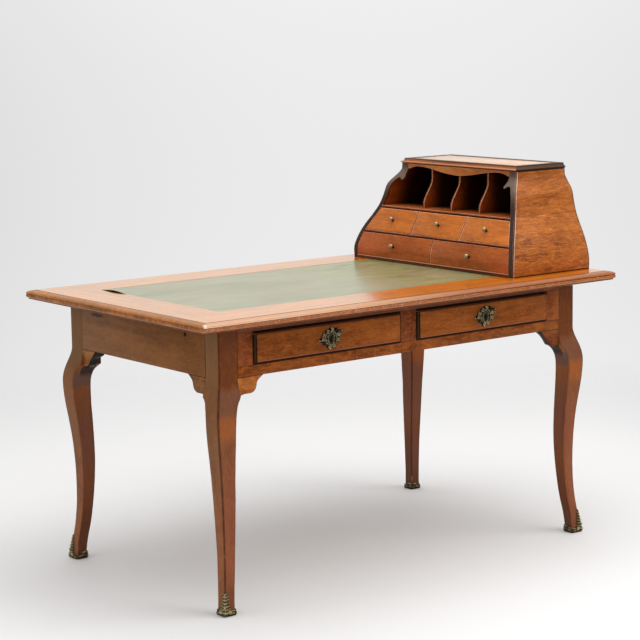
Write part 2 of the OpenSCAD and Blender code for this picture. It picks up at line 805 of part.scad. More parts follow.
// ---- Small drawers ----
// A small drawer is given by the y of its two sides and the z of its space. Where a side
// is the case's own, open is 1 on that side and the front follows the case.

upper_inner = partition_y - partition_t / 2 - small_gap;
upper_outer = partition_y + partition_t / 2 + small_gap;
lower_inner = partition_t / 2 + small_gap;

module small_face(y0, y1, z0, z1) {
    color("chocolate") on_desk() intersection() {
        cavity(0, case_inner_x, small_gap);
        front_layer(0, small_front);
        box([0, y0, z0 + small_gap], [case_depth, y1, z1 - small_gap]);
    }
}

module small_box(y0, y1, z0, z1) {
    low = z0 + slide_gap;
    high = z1 - small_gap - small_step;
    limit = side_at(high) - case_side_t - small_gap;
    left = min(y1, limit);
    right = max(y0, -limit);
    rear = case_inner_x - small_rear;
    color("wheat") on_desk() intersection() {
        behind_front(small_front);
        difference() {
            box([0, right, low], [rear, left, high]);
            box([-overshoot, right + small_side, low + small_bottom],
                [rear - small_side, left - small_side, high + overshoot]);
        }
    }
}

// Turned knob, square to the drawer's face at y and z
module small_knob(y, z) {
    lean = atan2(front_at(z + 1) - front_at(z - 1), 2);
    r = knob_d / 2;
    neck = knob_length * 0.35;
    color("gold") on_desk() translate([front_at(z), y, z]) rotate([0, lean - 90, 0])
        rotate_extrude() polygon(concat([[0, 0], [r * 0.75, 0], [r * 0.75, 1.2], [r * 0.4, 2.2],
            [r * 0.36, neck]],
            arc(0, knob_length - r * 0.95, r, -48, 84, 12), [[0, knob_length]]));
}

// Lists of the drawers' spaces: right side, left side, bottom, top
UPPER_LEFT = [upper_outer, case_width, upper_z, shelf_z];
UPPER_MIDDLE = [-upper_inner, upper_inner, upper_z, shelf_z];
UPPER_RIGHT = [-case_width, -upper_outer, upper_z, shelf_z];
LOWER_LEFT = [lower_inner, case_width, case_bottom_t, rail_z];
LOWER_RIGHT = [-case_width, -lower_inner, case_bottom_t, rail_z];

// Middle of the front of the space s at height z
function space_middle(s, z) =
    let (limit = side_at(z) - case_side_t) (max(s[0], -limit) + min(s[1], limit)) / 2;

module space_front(s) {
    small_face(s[0], s[1], s[2], s[3]);
}

module space_box(s) {
    small_box(s[0], s[1], s[2], s[3]);
}

module space_knob(s, z) {
    small_knob(space_middle(s, z), z);
}

// ---- Nodes ----

top_front_border();
top_back_border();
top_left_border();
top_right_border();
top_core();
writing_leather();
leg(-1, -1);  // leg_front_left
leg(1, -1);  // leg_front_right
leg(-1, 1);  // leg_back_left
leg(1, 1);  // leg_back_right
sabot(-1, -1);  // sabot_front_left
sabot(1, -1);  // sabot_front_right
sabot(-1, 1);  // sabot_back_left
sabot(1, 1);  // sabot_back_right
apron_end(-1);  // apron_left
apron_end(1);  // apron_right
apron_back();
front_top_rail();
front_bottom_rail();
front_stiles();
knee_brackets();
drawer_runners();
glue_blocks();
drawer_face(-1);  // drawer_left_front
drawer_box(-1);  // drawer_left_box
drawer_bottom_board(-1);  // drawer_left_bottom
drawer_lock(-1);  // drawer_left_lock
drawer_escutcheon(-1);  // drawer_left_escutcheon
drawer_face(1);  // drawer_right_front
drawer_box(1);  // drawer_right_box
drawer_bottom_board(1);  // drawer_right_bottom
drawer_lock(1);  // drawer_right_lock
drawer_escutcheon(1);  // drawer_right_escutcheon
case_side(0);  // case_side_left
case_side(1);  // case_side_right
case_back();
case_board(0, case_bottom_t);  // case_bottom
case_board(rail_z, upper_z);  // case_drawer_rail
case_board(shelf_z, pigeon_z);  // case_shelf
case_partitions();
case_dividers();
case_valance();
case_facings();
case_cornice();
case_top();
space_front(UPPER_LEFT);  // upper_left_front
space_box(UPPER_LEFT);  // upper_left_box
space_knob(UPPER_LEFT, knob_z_upper);  // upper_left_knob
space_front(UPPER_MIDDLE);  // upper_middle_front
space_box(UPPER_MIDDLE);  // upper_middle_box
space_knob(UPPER_MIDDLE, knob_z_upper);  // upper_middle_knob
space_front(UPPER_RIGHT);  // upper_right_front
space_box(UPPER_RIGHT);  // upper_right_box
space_knob(UPPER_RIGHT, knob_z_upper);  // upper_right_knob
space_front(LOWER_LEFT);  // lower_left_front
space_box(LOWER_LEFT);  // lower_left_box
space_knob(LOWER_LEFT, knob_z_lower);  // lower_left_knob
space_front(LOWER_RIGHT);  // lower_right_front
space_box(LOWER_RIGHT);  // lower_right_box
space_knob(LOWER_RIGHT, knob_z_lower);  // lower_right_knob
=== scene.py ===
import json
import math

import bmesh
import bpy
from mathutils import Matrix, Vector, noise


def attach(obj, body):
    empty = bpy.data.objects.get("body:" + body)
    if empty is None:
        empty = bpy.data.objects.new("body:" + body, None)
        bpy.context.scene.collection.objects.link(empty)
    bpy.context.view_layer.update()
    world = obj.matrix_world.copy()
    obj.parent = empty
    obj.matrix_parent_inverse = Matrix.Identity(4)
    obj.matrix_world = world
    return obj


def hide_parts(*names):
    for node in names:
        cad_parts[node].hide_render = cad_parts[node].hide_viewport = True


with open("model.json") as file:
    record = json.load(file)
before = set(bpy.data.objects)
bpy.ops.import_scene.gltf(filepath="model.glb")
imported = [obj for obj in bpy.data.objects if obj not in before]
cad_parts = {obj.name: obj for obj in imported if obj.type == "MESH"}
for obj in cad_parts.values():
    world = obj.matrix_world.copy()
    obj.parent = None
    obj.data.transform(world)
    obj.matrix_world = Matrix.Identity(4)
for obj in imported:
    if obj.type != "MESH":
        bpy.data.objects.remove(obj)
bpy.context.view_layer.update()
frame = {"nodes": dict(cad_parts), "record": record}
nodes = frame["nodes"]
record = frame["record"]
BODY_OF = {node: body for body, held in record["behaviour"]["bodies"].items() for node in held}

# Sizes that the looks share with the part
TOP_HALF = (0.715, 0.425)
LEATHER_HALF = (0.5647, 0.2747)
LEATHER_TOP = 0.7596
LEATHER_THICK = 0.0016
LEG_HEIGHT = 0.600
POST_TOP = 0.734
FRAME_HALF = (0.620, 0.350)
POST = 0.058
KNEE_OUT = 0.021
FOOT_IN = 0.0085
SOLE = 0.003
LEAF = 0.064
LEG_OUTSIDE = [(0, 1), (0.085, 0.78), (0.18, 0.43), (0.28, 0.22), (0.42, 0.17), (0.56, 0.33),
               (0.66, 0.60), (0.74, 0.85), (0.80, 0.97), (0.85, 1), (0.885, 0.88), (0.915, 0.65),
               (0.945, 0.36), (0.975, 0.1), (1, 0)]
LEG_INSIDE_Y = [(0, 0.19), (0.085, 0.26), (0.18, 0.415), (0.28, 0.53), (0.37, 0.61), (0.47, 0.665),
                (0.56, 0.67), (0.66, 0.65), (0.75, 0.61), (0.835, 0.59), (0.865, 0.62), (0.88, 0.66),
                (0.895, 0.715), (0.908, 0.80), (0.915, 0.90), (0.92, 1)]
LEG_INSIDE_X = [(0, 0.19), (0.085, 0.26), (0.18, 0.415), (0.28, 0.53), (0.37, 0.60), (0.47, 0.645),
                (0.56, 0.645), (0.66, 0.63), (0.75, 0.62), (0.835, 0.645), (0.865, 0.685), (0.88, 0.73),
                (0.893, 0.785), (0.904, 0.86), (0.912, 0.93), (0.92, 1)]
BRACKET_DEPTH = 0.022
DRAWER_X = 0.271
LOCK_Z = 0.6705
PLATE_BACK = -0.358
CASE_AT = Vector((0.389, 0.005, 0.760))
CASE_HALF = 0.347
SIDE_INSET, FRONT_INSET = 0.100, 0.109
NECK = 0.284
CASE_DEEP = 0.304
SIDE_THICK = 0.016
FACING = 0.005
BELL = [(0, 0), (0.12, 0), (0.246, 0.095), (0.352, 0.22), (0.458, 0.38), (0.563, 0.52),
        (0.669, 0.61), (0.792, 0.70), (0.88, 0.88), (0.935, 0.985), (0.98, 1), (1, 1)]
LEFT, RIGHT, FRONT, BACK = -1, 1, -1, 1
CORNERS = {"front_left": (LEFT, FRONT), "front_right": (RIGHT, FRONT),
           "back_left": (LEFT, BACK), "back_right": (RIGHT, BACK)}

# The top's moulded edge: how far in from the outline it and its quirk lie, then the heights of its
# members, and of the quirk and the boards' inner flanks. A pair is where a finish starts to change
# and where it has changed.
EDGE_IN = (0.0175, 0.0195)
QUIRK_IN = 0.0198
EDGE_STEP = 0.7492
BAND_OVER_STEP = (0.7497, 0.7508)
NOSE_UNDER_STEP = (0.7484, EDGE_STEP)
EDGE_FILLET = 0.7386
EDGE_UNDERSIDE = (0.7368, 0.7392)
EDGE_FACE = (0.7440, 0.7560)
# Heights of the painted highlight on the near corner
CORNER_HIGHLIGHT_HEIGHTS = (0.7470, 0.7520)
QUIRK_FLOOR = (0.7570, 0.7585)
BOARD_FLANK = (0.7565, 0.7585)
# How sharply a finish changes at a mitre
MITRE = (-0.0005, 0.0005)
# An apron drawer's front, from its middle: where its field ends and its moulding is full, along and up
FIELD_ALONG = (0.2345, 0.2362)
FIELD_UP = (0.0330, 0.0345)
# The painted lights and reflection on its moulding: height over the lock, distance from the middle,
# height of the lower arris
MOULDING_OVER = 0.0361
MOULDING_END = 0.2388
MOULDING_FOOT = 0.6352

# Vertices closer than WELD become one, and a vertex closer than CUT to a cut lies on it
WELD = 0.00002
CUT = 1e-6
# Faces that meet at less than this many degrees are one flat face
FLAT = 0.3
# A case board's face is its front edge where its normal's X is under this
FORWARD = -0.45
# The shift or turn and the stretch that leave coordinates as they are
HERE = (0, 0, 0)
EVEN = (1, 1, 1)


def rgb(red, green, blue):
    """A colour given as a painter's chart gives it, 0 to 255, made linear."""
    return tuple(c / 12.92 if c <= 0.04045 else ((c + 0.055) / 1.055) ** 2.4
                 for c in (red / 255, green / 255, blue / 255))


def shaded(colour, *shares):
    """The colour times one share, or times a share for each of red, green and blue."""
    return tuple(c * s for c, s in zip(colour, shares if len(shares) == 3 else shares * 3))


# ---- Finishes ----

class Channel:
    """What one socket gives. Arithmetic on it adds Math nodes."""

    def __init__(self, owner, socket):
        self.owner, self.socket = owner, socket

    def math(self, operation, *operands):
        """A Math node on channels and numbers."""
        return self.owner.node("Math", {"Value": list(operands)}, operation=operation)

    def __add__(self, other):
        return self.math("ADD", self, other)

    def __radd__(self, other):
        return self.math("ADD", other, self)

    def __sub__(self, other):
        return self.math("SUBTRACT", self, other)

    def __rsub__(self, other):
        return self.math("SUBTRACT", other, self)

    def __mul__(self, other):
        return self.math("MULTIPLY", self, other)

    def __rmul__(self, other):
        return self.math("MULTIPLY", other, self)

    def __truediv__(self, other):
        return self.math("DIVIDE", self, other)

    def __rtruediv__(self, other):
        return self.math("DIVIDE", other, self)

    def __pow__(self, other):
        return self.math("POWER", self, other)

    def __abs__(self):
        return self.math("ABSOLUTE", self)

    def sign(self):
        return self.math("SIGN", self)

    def low(self, other):
        """The lower of the two."""
        return self.math("MINIMUM", self, other)

    def high(self, other):
        """The higher of the two."""
        return self.math("MAXIMUM", self, other)

    def rise(self, low, high):
        """0 below low, 1 above high, smooth between."""
        return self.owner.node("MapRange", {"Value": self, "From Min": low, "From Max": high},
                               interpolation_type="SMOOTHSTEP")

    def fall(self, low, high):
        """1 below low, 0 above high, smooth between."""
        return 1 - self.rise(low, high)

    def band(self, centre, half, soft):
        """1 within half of centre, fading out over soft."""
        return abs(self - centre).fall(half, half + soft)


class Nodes:
    """Adds nodes to one tree."""

    def __init__(self, tree):
        self.tree = tree
        tree.nodes.clear()

    def plug(self, socket, value):
        """Links a channel to the socket, or sets its value."""
        if isinstance(value, Channel):
            self.tree.links.new(value.socket, socket)
        else:
            colour = socket.type == "RGBA" and len(value) == 3
            socket.default_value = (*value, 1) if colour else value

    def node(self, kind, inputs=None, output=None, stops=None, **settings):
        """A node, its settings and a ramp's stops set before its sockets. Gives the named output,
        or the first. A list of values fills sockets that share a name."""
        made = self.tree.nodes.new("ShaderNode" + kind)
        for key, value in settings.items():
            setattr(made, key, value)
        if stops:
            ramp = made.color_ramp
            for element, (at, colour) in zip(ramp.elements, (stops[0], stops[-1])):
                element.position = at
                element.color = (*colour, 1)
            for at, colour in stops[1:-1]:
                ramp.elements.new(at).color = (*colour, 1)
        for key, value in (inputs or {}).items():
            free = [s for s in made.inputs if s.enabled and s.name == key]
            for socket, part in zip(free, value if isinstance(value, list) else [value]):
                self.plug(socket, part)
        found = [s for s in made.outputs if s.enabled and output in (None, s.name)]
        return Channel(self, found[0]) if found else None

    def mix(self, share, first, second):
        """The first colour at 0 and the second at 1."""
        return self.node("Mix", {"Factor": share, "A": first, "B": second}, "Result", data_type="RGBA")

    def ramp(self, value, *stops):
        """Colours along the value. Each stop is where it lies and its colour."""
        return self.node("ValToRGB", {"Fac": value}, "Color", stops)

    def along(self, place, direction):
        """How far the place lies along the direction."""
        return self.node("VectorMath", {"Vector": [place, direction]}, "Value", operation="DOT_PRODUCT")


class Finish(Nodes):
    """A material on a piece's own coordinates, built up in layers."""

    def __init__(self, name):
        self.material = bpy.data.materials.new(name)
        self.material.use_nodes = True
        super().__init__(self.material.node_tree)
        self.place = self.node("TexCoord", output="Object")
        self.x, self.y, self.z = (self.node("SeparateXYZ", {"Vector": self.place}, axis) for axis in "XYZ")

    def facing(self, axis):
        """How far the surface looks along an axis, -1 to 1."""
        return self.node("SeparateXYZ", {"Vector": self.node("NewGeometry", output="Normal")}, axis)

    def painted(self, layer):
        """What the mesh's own layer says."""
        return self.node("Attribute", output="Fac", attribute_name=layer)

    def speckle(self, stretch, shift, scale, detail=4, rough=0.55, warp=0.0, turn=HERE):
        """Noise on the piece's coordinates stretched, turned and moved."""
        where = self.node("Mapping", {"Vector": self.place, "Scale": stretch, "Location": shift,
                                      "Rotation": turn})
        return self.node("TexNoise", {"Vector": where, "Scale": scale, "Detail": detail,
                                      "Roughness": rough, "Distortion": warp}, "Fac")

    def spot(self, across, up, at, size, soft, ragged):
        """1 inside an ellipse of the given half sizes, with a ragged outline."""
        far = ((across - at[0]) / size[0]) ** 2 + ((up - at[1]) / size[1]) ** 2
        far = far + (self.speckle(EVEN, HERE, 120, 2) - 0.5) * ragged
        return far.fall(1 - soft, 1 + soft)

    def stain(self, share, colour):
        """Lays the colour over what is there, as strongly as share says."""
        self.colour = self.mix(share, self.colour, colour)

    def build(self, metallic=0.0, coat=0.0, coat_rough=0.2, bump=0.15, depth=0.0005, specular=0.1):
        relief = self.node("Bump", {"Strength": bump, "Distance": depth, "Height": self.height})
        shader = self.node("BsdfPrincipled", {
            "Base Color": self.colour, "Roughness": self.rough, "Metallic": metallic, "Coat Weight": coat,
            "Coat Roughness": coat_rough, "Specular IOR Level": specular, "Normal": relief})
        self.node("OutputMaterial", {"Surface": shader})
        return self.material


# Mean colours of the woods and the leather, of a painted edge highlight and of painted shade
TONE = {name: rgb(*chart) for name, chart in {
    "border": (214, 119, 14), "edge": (150, 88, 40), "end_apron": (126, 77, 34), "front_rail": (137, 74, 29),
    "stile": (142, 75, 36), "bracket": (190, 114, 54), "bracket_end": (132, 86, 44),
    "bracket_pale": (134, 74, 40), "drawer": (147, 78, 26), "leg": (136, 80, 42), "post_end": (127, 80, 38),
    "post_front": (114, 57, 18), "case_side": (158, 85, 29), "upper": (186, 103, 38), "lower": (168, 86, 35),
    "case_inside": (134, 56, 13), "shelf": (142, 72, 30), "board_edge": (118, 62, 30),
    "case_edge": (62, 42, 32), "ear": (112, 92, 80), "cornice": (142, 82, 42), "valance": (172, 104, 50),
    "case_top": (218, 162, 130), "rubbed": (222, 158, 122), "shaded_underside": (34, 30, 27),
    "lining": (150, 108, 62), "leather": (144, 139, 110)}.items()}


def wood(name, grain, mean, seed=0.0, contrast=1.0, curl=0.5):
    """Waxed hardwood with fibres and broad figure along the axis grain, 0 for X to 2 for Z. Its
    colour scatters round mean, wider with contrast; curl makes the figure wander across the grain."""
    made = Finish(name)

    def figure(squeeze, *pattern):
        stretch = tuple(squeeze if axis == grain else 1.0 for axis in range(3))
        return made.speckle(stretch, (seed, seed * 1.7, seed * 0.6), *pattern)

    streaks = figure(0.05, 85, 6, 0.62, 0.4)
    bands = figure(0.16, 16, 3, 0.5, 1.3)
    curls = figure(0.45, 26, 4, 0.62, 1.1)
    clouds = figure(0.7, 7, 3)
    fibre = figure(0.03, 620, 3, 0.6)
    pores = figure(0.06, 760, 1, 0.5).rise(0.60, 0.72)
    flecks = figure(0.30, 190, 5, 0.7, 0.8)
    tone = 0.5 + ((streaks - 0.5) * 0.6 + (bands - 0.5) * 0.7 + (curls - 0.5) * curl * 1.2
                  + (clouds - 0.5) * 0.6 + (fibre - 0.5) * 0.3 + (flecks - 0.5) * 0.9) * contrast
    made.colour = made.ramp(tone, (0.15, shaded(mean, 0.52, 0.44, 0.38)), (0.5, mean),
                            (0.85, shaded(mean, 1.42, 1.50, 1.62)))
    made.stain(pores * 0.3, shaded(mean, 0.4))
    made.rough = 0.36 + fibre * 0.14 + pores * 0.15
    made.height = fibre * 0.6 - pores * 0.8 + streaks * 0.4
    made.streaks, made.curls, made.clouds, made.flecks = streaks, curls, clouds, flecks
    return made


def plain_finish(name, grain, mean, seed, specular=0.12, coat=0.0):
    return wood(name, grain, mean, seed).build(specular=specular, coat=coat)


def border_finish(name, grain, seed):
    """Honey-coloured border with a moulded edge: a quirk, a rounded band, a step and a browner nose.
    Painted shade lies in the quirk, along the step and under the edge; painted highlights and a
    painted reflection lie along the front.
    """
    made = wood(name, grain, TONE["border"], seed, 0.65, 0.5)
    x, y, z = made.x, made.y, made.z
    from_end, from_front = TOP_HALF[0] - abs(x), TOP_HALF[1] - abs(y)
    inward = from_end.low(from_front)
    at_end = (from_front - from_end).rise(*MITRE)
    edge = inward.fall(*EDGE_IN)
    scuffs = made.speckle(EVEN, (seed, 0, 0), 5.5, 5, 0.6).rise(0.54, 0.72)
    made.stain(scuffs * 0.22, rgb(226, 160, 96))

    worn = made.speckle((9, 9, 9), HERE, 6, 4)
    dabs = made.speckle((1, 1, 0.3), (seed, 5, 1), 90, 5, 0.65)
    brown = TONE["edge"]
    made.stain(edge, made.ramp(made.streaks * 0.3 + worn * 0.3 + dabs * 0.4,
                               (0.40, shaded(brown, 0.45)), (0.5, brown), (0.62, shaded(brown, 1.9))))
    made.stain(z.rise(*EDGE_FACE) * edge * (0.75 - dabs), rgb(208, 148, 92))

    # Along the front: the band over the step carries a painted reflection, pale to the left and browner
    # to the right, with a painted highlight line along its foot; the nose under it is orange, with
    # painted glints
    front = edge * (1 - at_end) * y.fall(-0.1, 0.1)
    leftward = x.fall(-0.45, 0.25)
    over, under = z.rise(*BAND_OVER_STEP) * front, z.fall(*NOSE_UNDER_STEP) * front
    glints = made.speckle(EVEN, HERE, 300, 2, 0.6).rise(0.60, 0.65)
    made.stain(over * (1 - leftward) * 0.6, rgb(150, 76, 42))
    made.stain(over * (0.06 + leftward * 0.80), rgb(208, 154, 116))
    made.stain(z.band(BAND_OVER_STEP[1], 0.0004, 0.0007) * front * leftward * 0.75, rgb(255, 228, 206))
    made.stain(under * 0.55, rgb(184, 98, 34))
    made.stain(under * glints * 0.6, rgb(240, 196, 158))
    # Painted highlight along the fillet at the foot of the edge, fading to the right and back
    fillet_highlight = z.band(EDGE_FILLET, 0.0005, 0.0007) * edge * (x + y).fall(-0.2, 0.3)
    made.stain(fillet_highlight * 0.6, rgb(216, 170, 142))

    # Painted shade: dark in the quirk, along the step and under the edge
    quirk = inward.band(QUIRK_IN, 0.0006, 0.0010) * z.rise(*QUIRK_FLOOR)
    step = z.band(EDGE_STEP, 0.0006, 0.0010) * edge * (0.7 - at_end * 0.55 - front * leftward * 0.35)
    shaded_underside = z.fall(*EDGE_UNDERSIDE) * edge
    made.stain((quirk * 0.75).high(step).high(shaded_underside * 0.5), rgb(46, 20, 10))
    # Painted highlight on the near front-left corner of the edge
    corner_highlight = made.spot(x, y, (-0.7080, -0.4200), (0.0050, 0.0070), 0.7, 0.6)
    made.stain(corner_highlight * z.rise(*CORNER_HIGHLIGHT_HEIGHTS) * 0.55, rgb(250, 226, 204))
    # Painted shade on the boards' inner flanks, in the recess beside and under the leather
    made.stain(z.fall(*BOARD_FLANK) * (1 - edge) * 0.9, rgb(18, 9, 5))
    # Painted shadow on the left border under the loose leather
    shadow_under_loose_leather = made.spot(x, y, (-0.5650, 0.214), (0.010, 0.062), 0.3, 0.6)
    made.stain(shadow_under_loose_leather * 0.9, rgb(16, 8, 5))
    made.rough = made.rough * 0.7 + scuffs * 0.05
    return made.build(specular=0.2, coat=1 - edge * (at_end * 0.35 + 0.6), coat_rough=0.12, bump=0.1,
                      depth=0.0004)


def end_apron_finish():
    """Faded end apron with a seam and painted shade along its top; the left one has a chip and a small
    hole, painted near black for the shade in it.
    """
    made = wood("end_apron_wood", 1, TONE["end_apron"], 3.1, 0.75, 0.35)
    x, y, z = made.x, made.y, made.z
    seam = (y + (made.clouds - 0.5) * 0.006).band(0.045, 0.0006, 0.0012)
    made.stain(seam * 0.4, rgb(150, 106, 66))
    left = x.fall(-0.5, -0.4)
    chip = made.spot(y, z, (0.213, 0.7028), (0.030, 0.0050), 0.3, 1.0)
    hole = made.spot(y, z, (-0.205, 0.7000), (0.0052, 0.0060), 0.25, 0.5)
    made.stain(chip * left * 0.95, rgb(62, 14, 6))
    # The small hole is painted near black, the shade inside it
    made.stain(hole * left, rgb(5, 3, 3))
    # Painted shade along the top, under the overhang of the table top
    made.stain(z.rise(0.722, 0.735) * 0.6, rgb(48, 26, 14))
    made.stain(abs(y).rise(0.2906, 0.2918) * 0.6, rgb(40, 20, 10))
    return made.build(specular=0.14, bump=0.2)


def frame_finish(name, grain, mean, seed, mottle=0.3):
    """Front rails, stiles, brackets and the back apron: stained, patchy, with pale mottles."""
    made = wood(name, grain, mean, seed, 1.15, 1.1)
    patches = made.speckle(EVEN, (seed, 2, 0), 14, 6, 0.7, 0.5).rise(0.48, 0.64)
    made.stain(patches * 0.50, shaded(mean, 0.60, 0.46, 0.42))
    glow = made.speckle((0.45, 1, 1), (2, seed, 4), 80, 5, 0.7, 0.6).rise(0.50, 0.59)
    made.stain(glow * mottle, shaded(mean, 1.8, 1.6, 1.1))
    made.stain(made.flecks.rise(0.52, 0.64) * 0.3, shaded(mean, 0.5))
    made.stain(made.z.rise(0.708, 0.714) * made.y.fall(-0.1, 0) * 0.6, rgb(112, 68, 54))
    return made.build()


def drawer_finish(name, seed):
    """Apron drawer front: a warm field in a near-black moulding, partly ebonised and partly painted
    shade of the space round the drawer, with painted lights on the moulding and a painted reflection
    on its lower arris.
    """
    mean = TONE["drawer"]
    made = wood(name, 0, mean, seed, 1.05, 0.5)
    blotch = made.speckle((0.6, 1, 1), (seed, 1, 5), 20, 4, 0.62, 0.6).rise(0.52, 0.66)
    made.stain(blotch * 0.28, shaded(mean, 0.5))
    made.stain(made.flecks.rise(0.52, 0.62) * 0.4, shaded(mean, 1.6, 1.5, 1.3))
    lines = made.speckle((0.2, 1, 1), (seed, 2, 1), 230, 4, 0.7, 1.4).rise(0.54, 0.62)
    made.stain(lines * 0.5, shaded(mean, 0.5, 0.42, 0.4))

    across, rising = abs(abs(made.x) - DRAWER_X), made.z - LOCK_Z
    up = abs(rising)
    # Near black: partly an ebonised moulding, partly painted shade of the space round the drawer
    moulding = across.rise(*FIELD_ALONG).high(up.rise(*FIELD_UP))
    made.stain(moulding * 0.94, rgb(22, 9, 6))
    # Painted lights on the upper moulding and along its ends, and a painted reflection of the floor on the
    # lower arris
    made.stain(rising.band(MOULDING_OVER, 0.0009, 0.0007) * 0.8, rgb(132, 78, 48))
    made.stain(across.band(MOULDING_END, 0.0006, 0.0007) * 0.6, rgb(76, 66, 42))
    within = across.fall(FIELD_ALONG[0] - 0.001, FIELD_ALONG[0] + 0.001)
    made.stain(made.z.band(MOULDING_FOOT, 0.0006, 0.0016) * within * 0.6, rgb(186, 116, 84))
    made.stain(made.spot(across, up, (0, 0), (0.055, 0.036), 0.8, 1.0) * 0.3, rgb(84, 34, 14))
    return made.build()


def leg_finish():
    """Leg wood: browned round the knee, an orange patch below it on the front, a painted dark line of
    shade on the outer arris, and painted shade where the inner faces meet the brackets."""
    mean = TONE["leg"]
    made = wood("leg_wood", 2, mean, 5.3, 0.9, 0.3)
    x, y, z = made.x, made.y, made.z
    toward_front = made.facing("Y") * -1
    ahead, right, back = toward_front.rise(0.5, 0.8), x.rise(0.0, 0.1), y.rise(0.0, 0.1)
    front = ahead * (1 - back)
    inner = (made.facing("X") * x.sign() * -1).rise(0.5, 0.8).high((toward_front * y.sign()).rise(0.5, 0.8))
    outer = (1 - front) * (1 - inner)
    ragged = z + (made.curls - 0.5) * 0.03
    made.stain((z + (made.clouds - 0.5) * 0.05).rise(0.56, 0.59),
               made.mix(front, TONE["post_end"], TONE["post_front"]))
    made.stain(made.flecks.rise(0.50, 0.64) * 0.4, shaded(mean, 1.35, 1.3, 1.1))
    made.stain(made.streaks.rise(0.52, 0.66) * 0.35, shaded(mean, 0.55, 0.48, 0.42))
    patches = made.speckle((1, 1, 0.8), (2, 3, 1), 22, 6, 0.7, 0.5).rise(0.46, 0.66)
    made.stain(patches * 0.35, shaded(mean, 0.62, 0.50, 0.42))

    made.stain(ragged.band(0.480, 0.014, 0.035) * front * 0.5, rgb(172, 92, 34))
    made.stain(ragged.band(0.540, 0.018, 0.026) * front * 0.6, rgb(118, 76, 58))
    made.stain(ragged.fall(0.30, 0.46) * front * 0.35, rgb(146, 76, 56))
    made.stain(outer * ragged.rise(0.22, 0.42) * 0.3, rgb(112, 84, 44))

    under_frame = (FRAME_HALF[0] - abs(x)).low(FRAME_HALF[1] - abs(y)).rise(-0.001, 0.001)
    made.stain(ragged.band(0.513, 0.018, 0.005) * inner * 0.75, rgb(98, 74, 64))
    # Painted shade on the inner faces just under the brackets
    made.stain(z.band(0.548, 0.014, 0.022) * inner * under_frame * 0.9, TONE["shaded_underside"])
    made.stain(ragged.fall(0.480, 0.495) * inner * 0.5, rgb(126, 66, 28))
    made.stain(ragged.band(0.34, 0.05, 0.08) * inner * 0.4, rgb(98, 62, 56))
    made.stain(ragged.fall(0.08, 0.30) * inner * 0.58, rgb(58, 27, 17))
    back_right = inner * ahead * right
    made.stain(ragged.rise(0.39, 0.44) * back_right * 0.6, rgb(162, 86, 24))
    made.stain(ragged.band(0.12, 0.05, 0.06) * back_right * 0.4, rgb(126, 72, 56))
    made.stain(ragged.rise(0.53, 0.56) * outer * back * 0.2, rgb(78, 62, 42))

    # The arris layer sets a painted dark line of shade, strongest on the outer arris, and the pale wear and
    # chips
    arris = made.painted("arris")
    nicks = made.speckle((1, 1, 0.35), HERE, 130, 4, 0.6).rise(0.42, 0.58)
    made.stain(arris ** 4 * (0.66 + nicks * 0.2), rgb(70, 23, 9))
    pale = made.speckle((1, 1, 0.5), (3, 1, 4), 60, 3).rise(0.68, 0.73)
    made.stain(arris ** 2 * pale * 0.22, rgb(170, 120, 84))
    made.stain(z.fall(0.02, 0.11) * 0.3, rgb(84, 48, 30))
    chips = made.speckle(EVEN, HERE, 210, 2, 0.6).rise(0.52, 0.60) * z.fall(0.036, 0.048)
    made.stain(arris ** 2 * chips * 0.8, rgb(206, 160, 130))
    return made.build(specular=0.18, bump=0.2, depth=0.0006)


def case_side_finish():
    """Figured veneer with a joint across it, painted shade at its foot and a painted dark line of shade
    along its back edge.
    """
    made = wood("case_side_wood", 0, TONE["case_side"], 7.7, 1.15, 1.0)
    high = made.z - CASE_AT.z
    flame = made.speckle((0.4, 1, 1.5), (0.3, 0, 0.1), 34, 6, 0.74, 1.6).rise(0.50, 0.68)
    made.stain(flame * 0.5, rgb(214, 130, 56))
    lines = made.speckle((0.16, 1, 1.0), (1.3, 0, 2.1), 150, 5, 0.7, 2.2).rise(0.53, 0.62)
    made.stain(lines * 0.6, rgb(106, 47, 16))
    knots = made.speckle((0.7, 1, 1.2), (4, 1, 2), 15, 4, 0.6, 0.8).rise(0.58, 0.74)
    made.stain(knots * 0.4, rgb(120, 58, 26))
    hairs = made.speckle((0.10, 1, 1.0), (3.2, 0, 1.1), 270, 4, 0.7, 1.6).rise(0.54, 0.60)
    made.stain(hairs * 0.40, rgb(222, 142, 64))
    made.stain(high.rise(0.160, 0.166) * 0.15, rgb(168, 92, 30))
    joint = (high + (made.clouds - 0.5) * 0.002).band(0.163, 0.0004, 0.0009)
    made.stain(joint * 0.4, rgb(84, 38, 14))
    # Painted shade at the foot, where the side stands on the top, and along the back edge
    made.stain(high.fall(0.0025, 0.0050) * 0.8, rgb(30, 12, 6))
    made.stain((made.x - CASE_AT.x).rise(CASE_DEEP - 0.0045, CASE_DEEP - 0.0025) * 0.75, rgb(52, 24, 12))
    return made.build(specular=0.14, coat=0.04)


def case_inside_finish(name, mean):
    """Wood inside the pigeonholes, with painted shade that darkens it towards the back."""
    made = wood(name, 1, mean, 2.9)
    # Painted shade, near black deeper in the case
    made.stain((made.x - CASE_AT.x).rise(0.078, 0.165) * 0.92, rgb(12, 5, 3))
    return made.build(specular=0.08)


def base_finish():
    """The case's bottom board: a dark plinth with a painted highlight on its upper arris over a paler
    line, and painted shade at its foot, where it stands on the top.
    """
    made = wood("case_base_wood", 1, TONE["board_edge"], 2.1)
    high = made.z - CASE_AT.z
    made.stain(high.rise(0.0034, 0.0042) * 0.85, rgb(70, 36, 18))
    # Painted highlight along the upper arris, and painted shade at the foot
    made.stain(high.rise(0.0078, 0.0086) * 0.9, TONE["rubbed"])
    made.stain(high.fall(0.0012, 0.0022) * 0.9, rgb(20, 10, 6))
    return made.build(specular=0.12)


